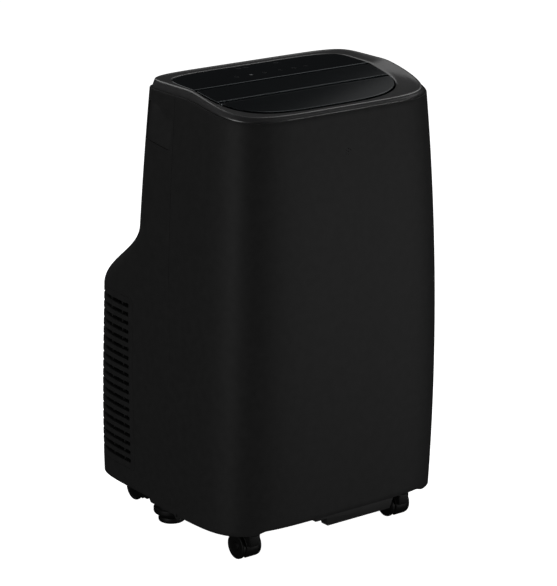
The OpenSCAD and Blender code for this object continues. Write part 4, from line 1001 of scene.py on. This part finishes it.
front_cover()
rear_cover()
corner_grille()
grip_pocket("grip_pocket_left", "handle_left", -1)
grip_pocket("grip_pocket_right", "handle_right", 1)
top_ring()
control_panel()
flap("flap_rear", "louvre_rear", HINGES["rear"], LOUVRE_SPLIT_Y)
flap("flap_front", "louvre_front", HINGES["front"], -200)
markings()

for caster_name in CASTERS:
    caster(caster_name)
base_tray()
sump_cap()
exhaust_socket()
filter_door()
drain_fittings()
cord_fittings()
screws()

# The nodes that stay as they are take their slot's look.
for part in frame["record"]["subparts"]:
    node = frame["nodes"][part["node"]]
    if not node.hide_render:
        node.data.materials.clear()
        node.data.materials.append(LOOKS[part["material_slot"]])

# ------------------------------------------------------------------ stage

floor_mesh = bpy.data.meshes.new("floor")
floor_mesh.from_pydata([(-30, -30, 0), (30, -30, 0), (30, 30, 0), (-30, 30, 0)], [], [[0, 1, 2, 3]])
floor = bpy.data.objects.new("floor", floor_mesh)
bpy.context.scene.collection.objects.link(floor)
pale = moulded("pale_floor", (0.8,) * 3, 0.9, grain=0.01, depth=0.0, specular=0.0, mottle=2.0)
glow = pale.node_tree.nodes["Principled BSDF"]
glow.inputs["Emission Color"].default_value = (1, 1, 1, 1)
glow.inputs["Emission Strength"].default_value = 1.05
floor.data.materials.append(pale)
# The floor neither lights the object nor takes its shadow.
floor.visible_diffuse = False
floor.visible_glossy = False
floor.visible_shadow = False

# The studio is dim to the object and pale to the eye.
world = bpy.data.worlds.new("studio")
bpy.context.scene.world = world
world.use_nodes = True
sky = world.node_tree
dim = sky.nodes["Background"]
bright = sky.nodes.new("ShaderNodeBackground")
for background, strength in ((dim, 0.014), (bright, 1.2)):
    background.inputs["Color"].default_value = (1, 1, 1, 1)
    background.inputs["Strength"].default_value = strength
seen = sky.nodes.new("ShaderNodeLightPath")
choose = sky.nodes.new("ShaderNodeMixShader")
sky.links.new(seen.outputs["Is Camera Ray"], choose.inputs["Fac"])
sky.links.new(dim.outputs["Background"], choose.inputs[1])
sky.links.new(bright.outputs["Background"], choose.inputs[2])
sky.links.new(choose.outputs["Shader"], sky.nodes["World Output"].inputs["Surface"])


def bearing(azimuth, elevation):
    """Direction in degrees from the object: azimuth 0 is in front of it, 90 to its right."""
    a, e = math.radians(azimuth), math.radians(elevation)
    return Vector((math.sin(a) * math.cos(e), -math.cos(a) * math.cos(e), math.sin(e)))


def place(name, data, at, target):
    """A lamp or camera at a point, turned to look at another."""
    obj = bpy.data.objects.new(name, data)
    obj.location = at
    obj.rotation_mode = "QUATERNION"
    obj.rotation_quaternion = (target - at).to_track_quat("-Z", "Y")
    bpy.context.scene.collection.objects.link(obj)
    return obj


def softbox(name, azimuth, elevation, distance, width, height, power, aim):
    light = bpy.data.lights.new(name, "AREA")
    light.shape = "RECTANGLE"
    light.size, light.size_y = width, height
    light.energy = power
    place(name, light, Vector(aim) + distance * bearing(azimuth, elevation), Vector(aim))


softbox("key", 38, 0, 3.6, 1.6, 1.4, 48, (0, 0, -0.15))
softbox("fill_left", -75, 1, 3.6, 2.2, 2.2, 62, (0, 0, 0.35))
softbox("right_high", 92, 47, 2.0, 1.4, 1.4, 13, (0, -0.1, 0.68))
softbox("back_right", 116, 44, 1.6, 1.0, 1.0, 0.8, (0.25, 0, 0.68))
softbox("back", 194, 44, 2.6, 2.2, 2.5, 28, (0, 0, 0.68))

bpy.context.scene.view_settings.view_transform = "Standard"

TARGET, DISTANCE = Vector((0.0138, -0.0036, 0.3505)), 3.9607
FOCAL_TO_SENSOR = 2606 / 586                     # focal length over the image's longer side
lens = bpy.data.cameras.new("camera")
lens.sensor_width = 36
lens.lens = 36 * FOCAL_TO_SENSOR
bpy.context.scene.camera = place("camera", lens, TARGET + bearing(-36.74, 17.02) * DISTANCE, TARGET)
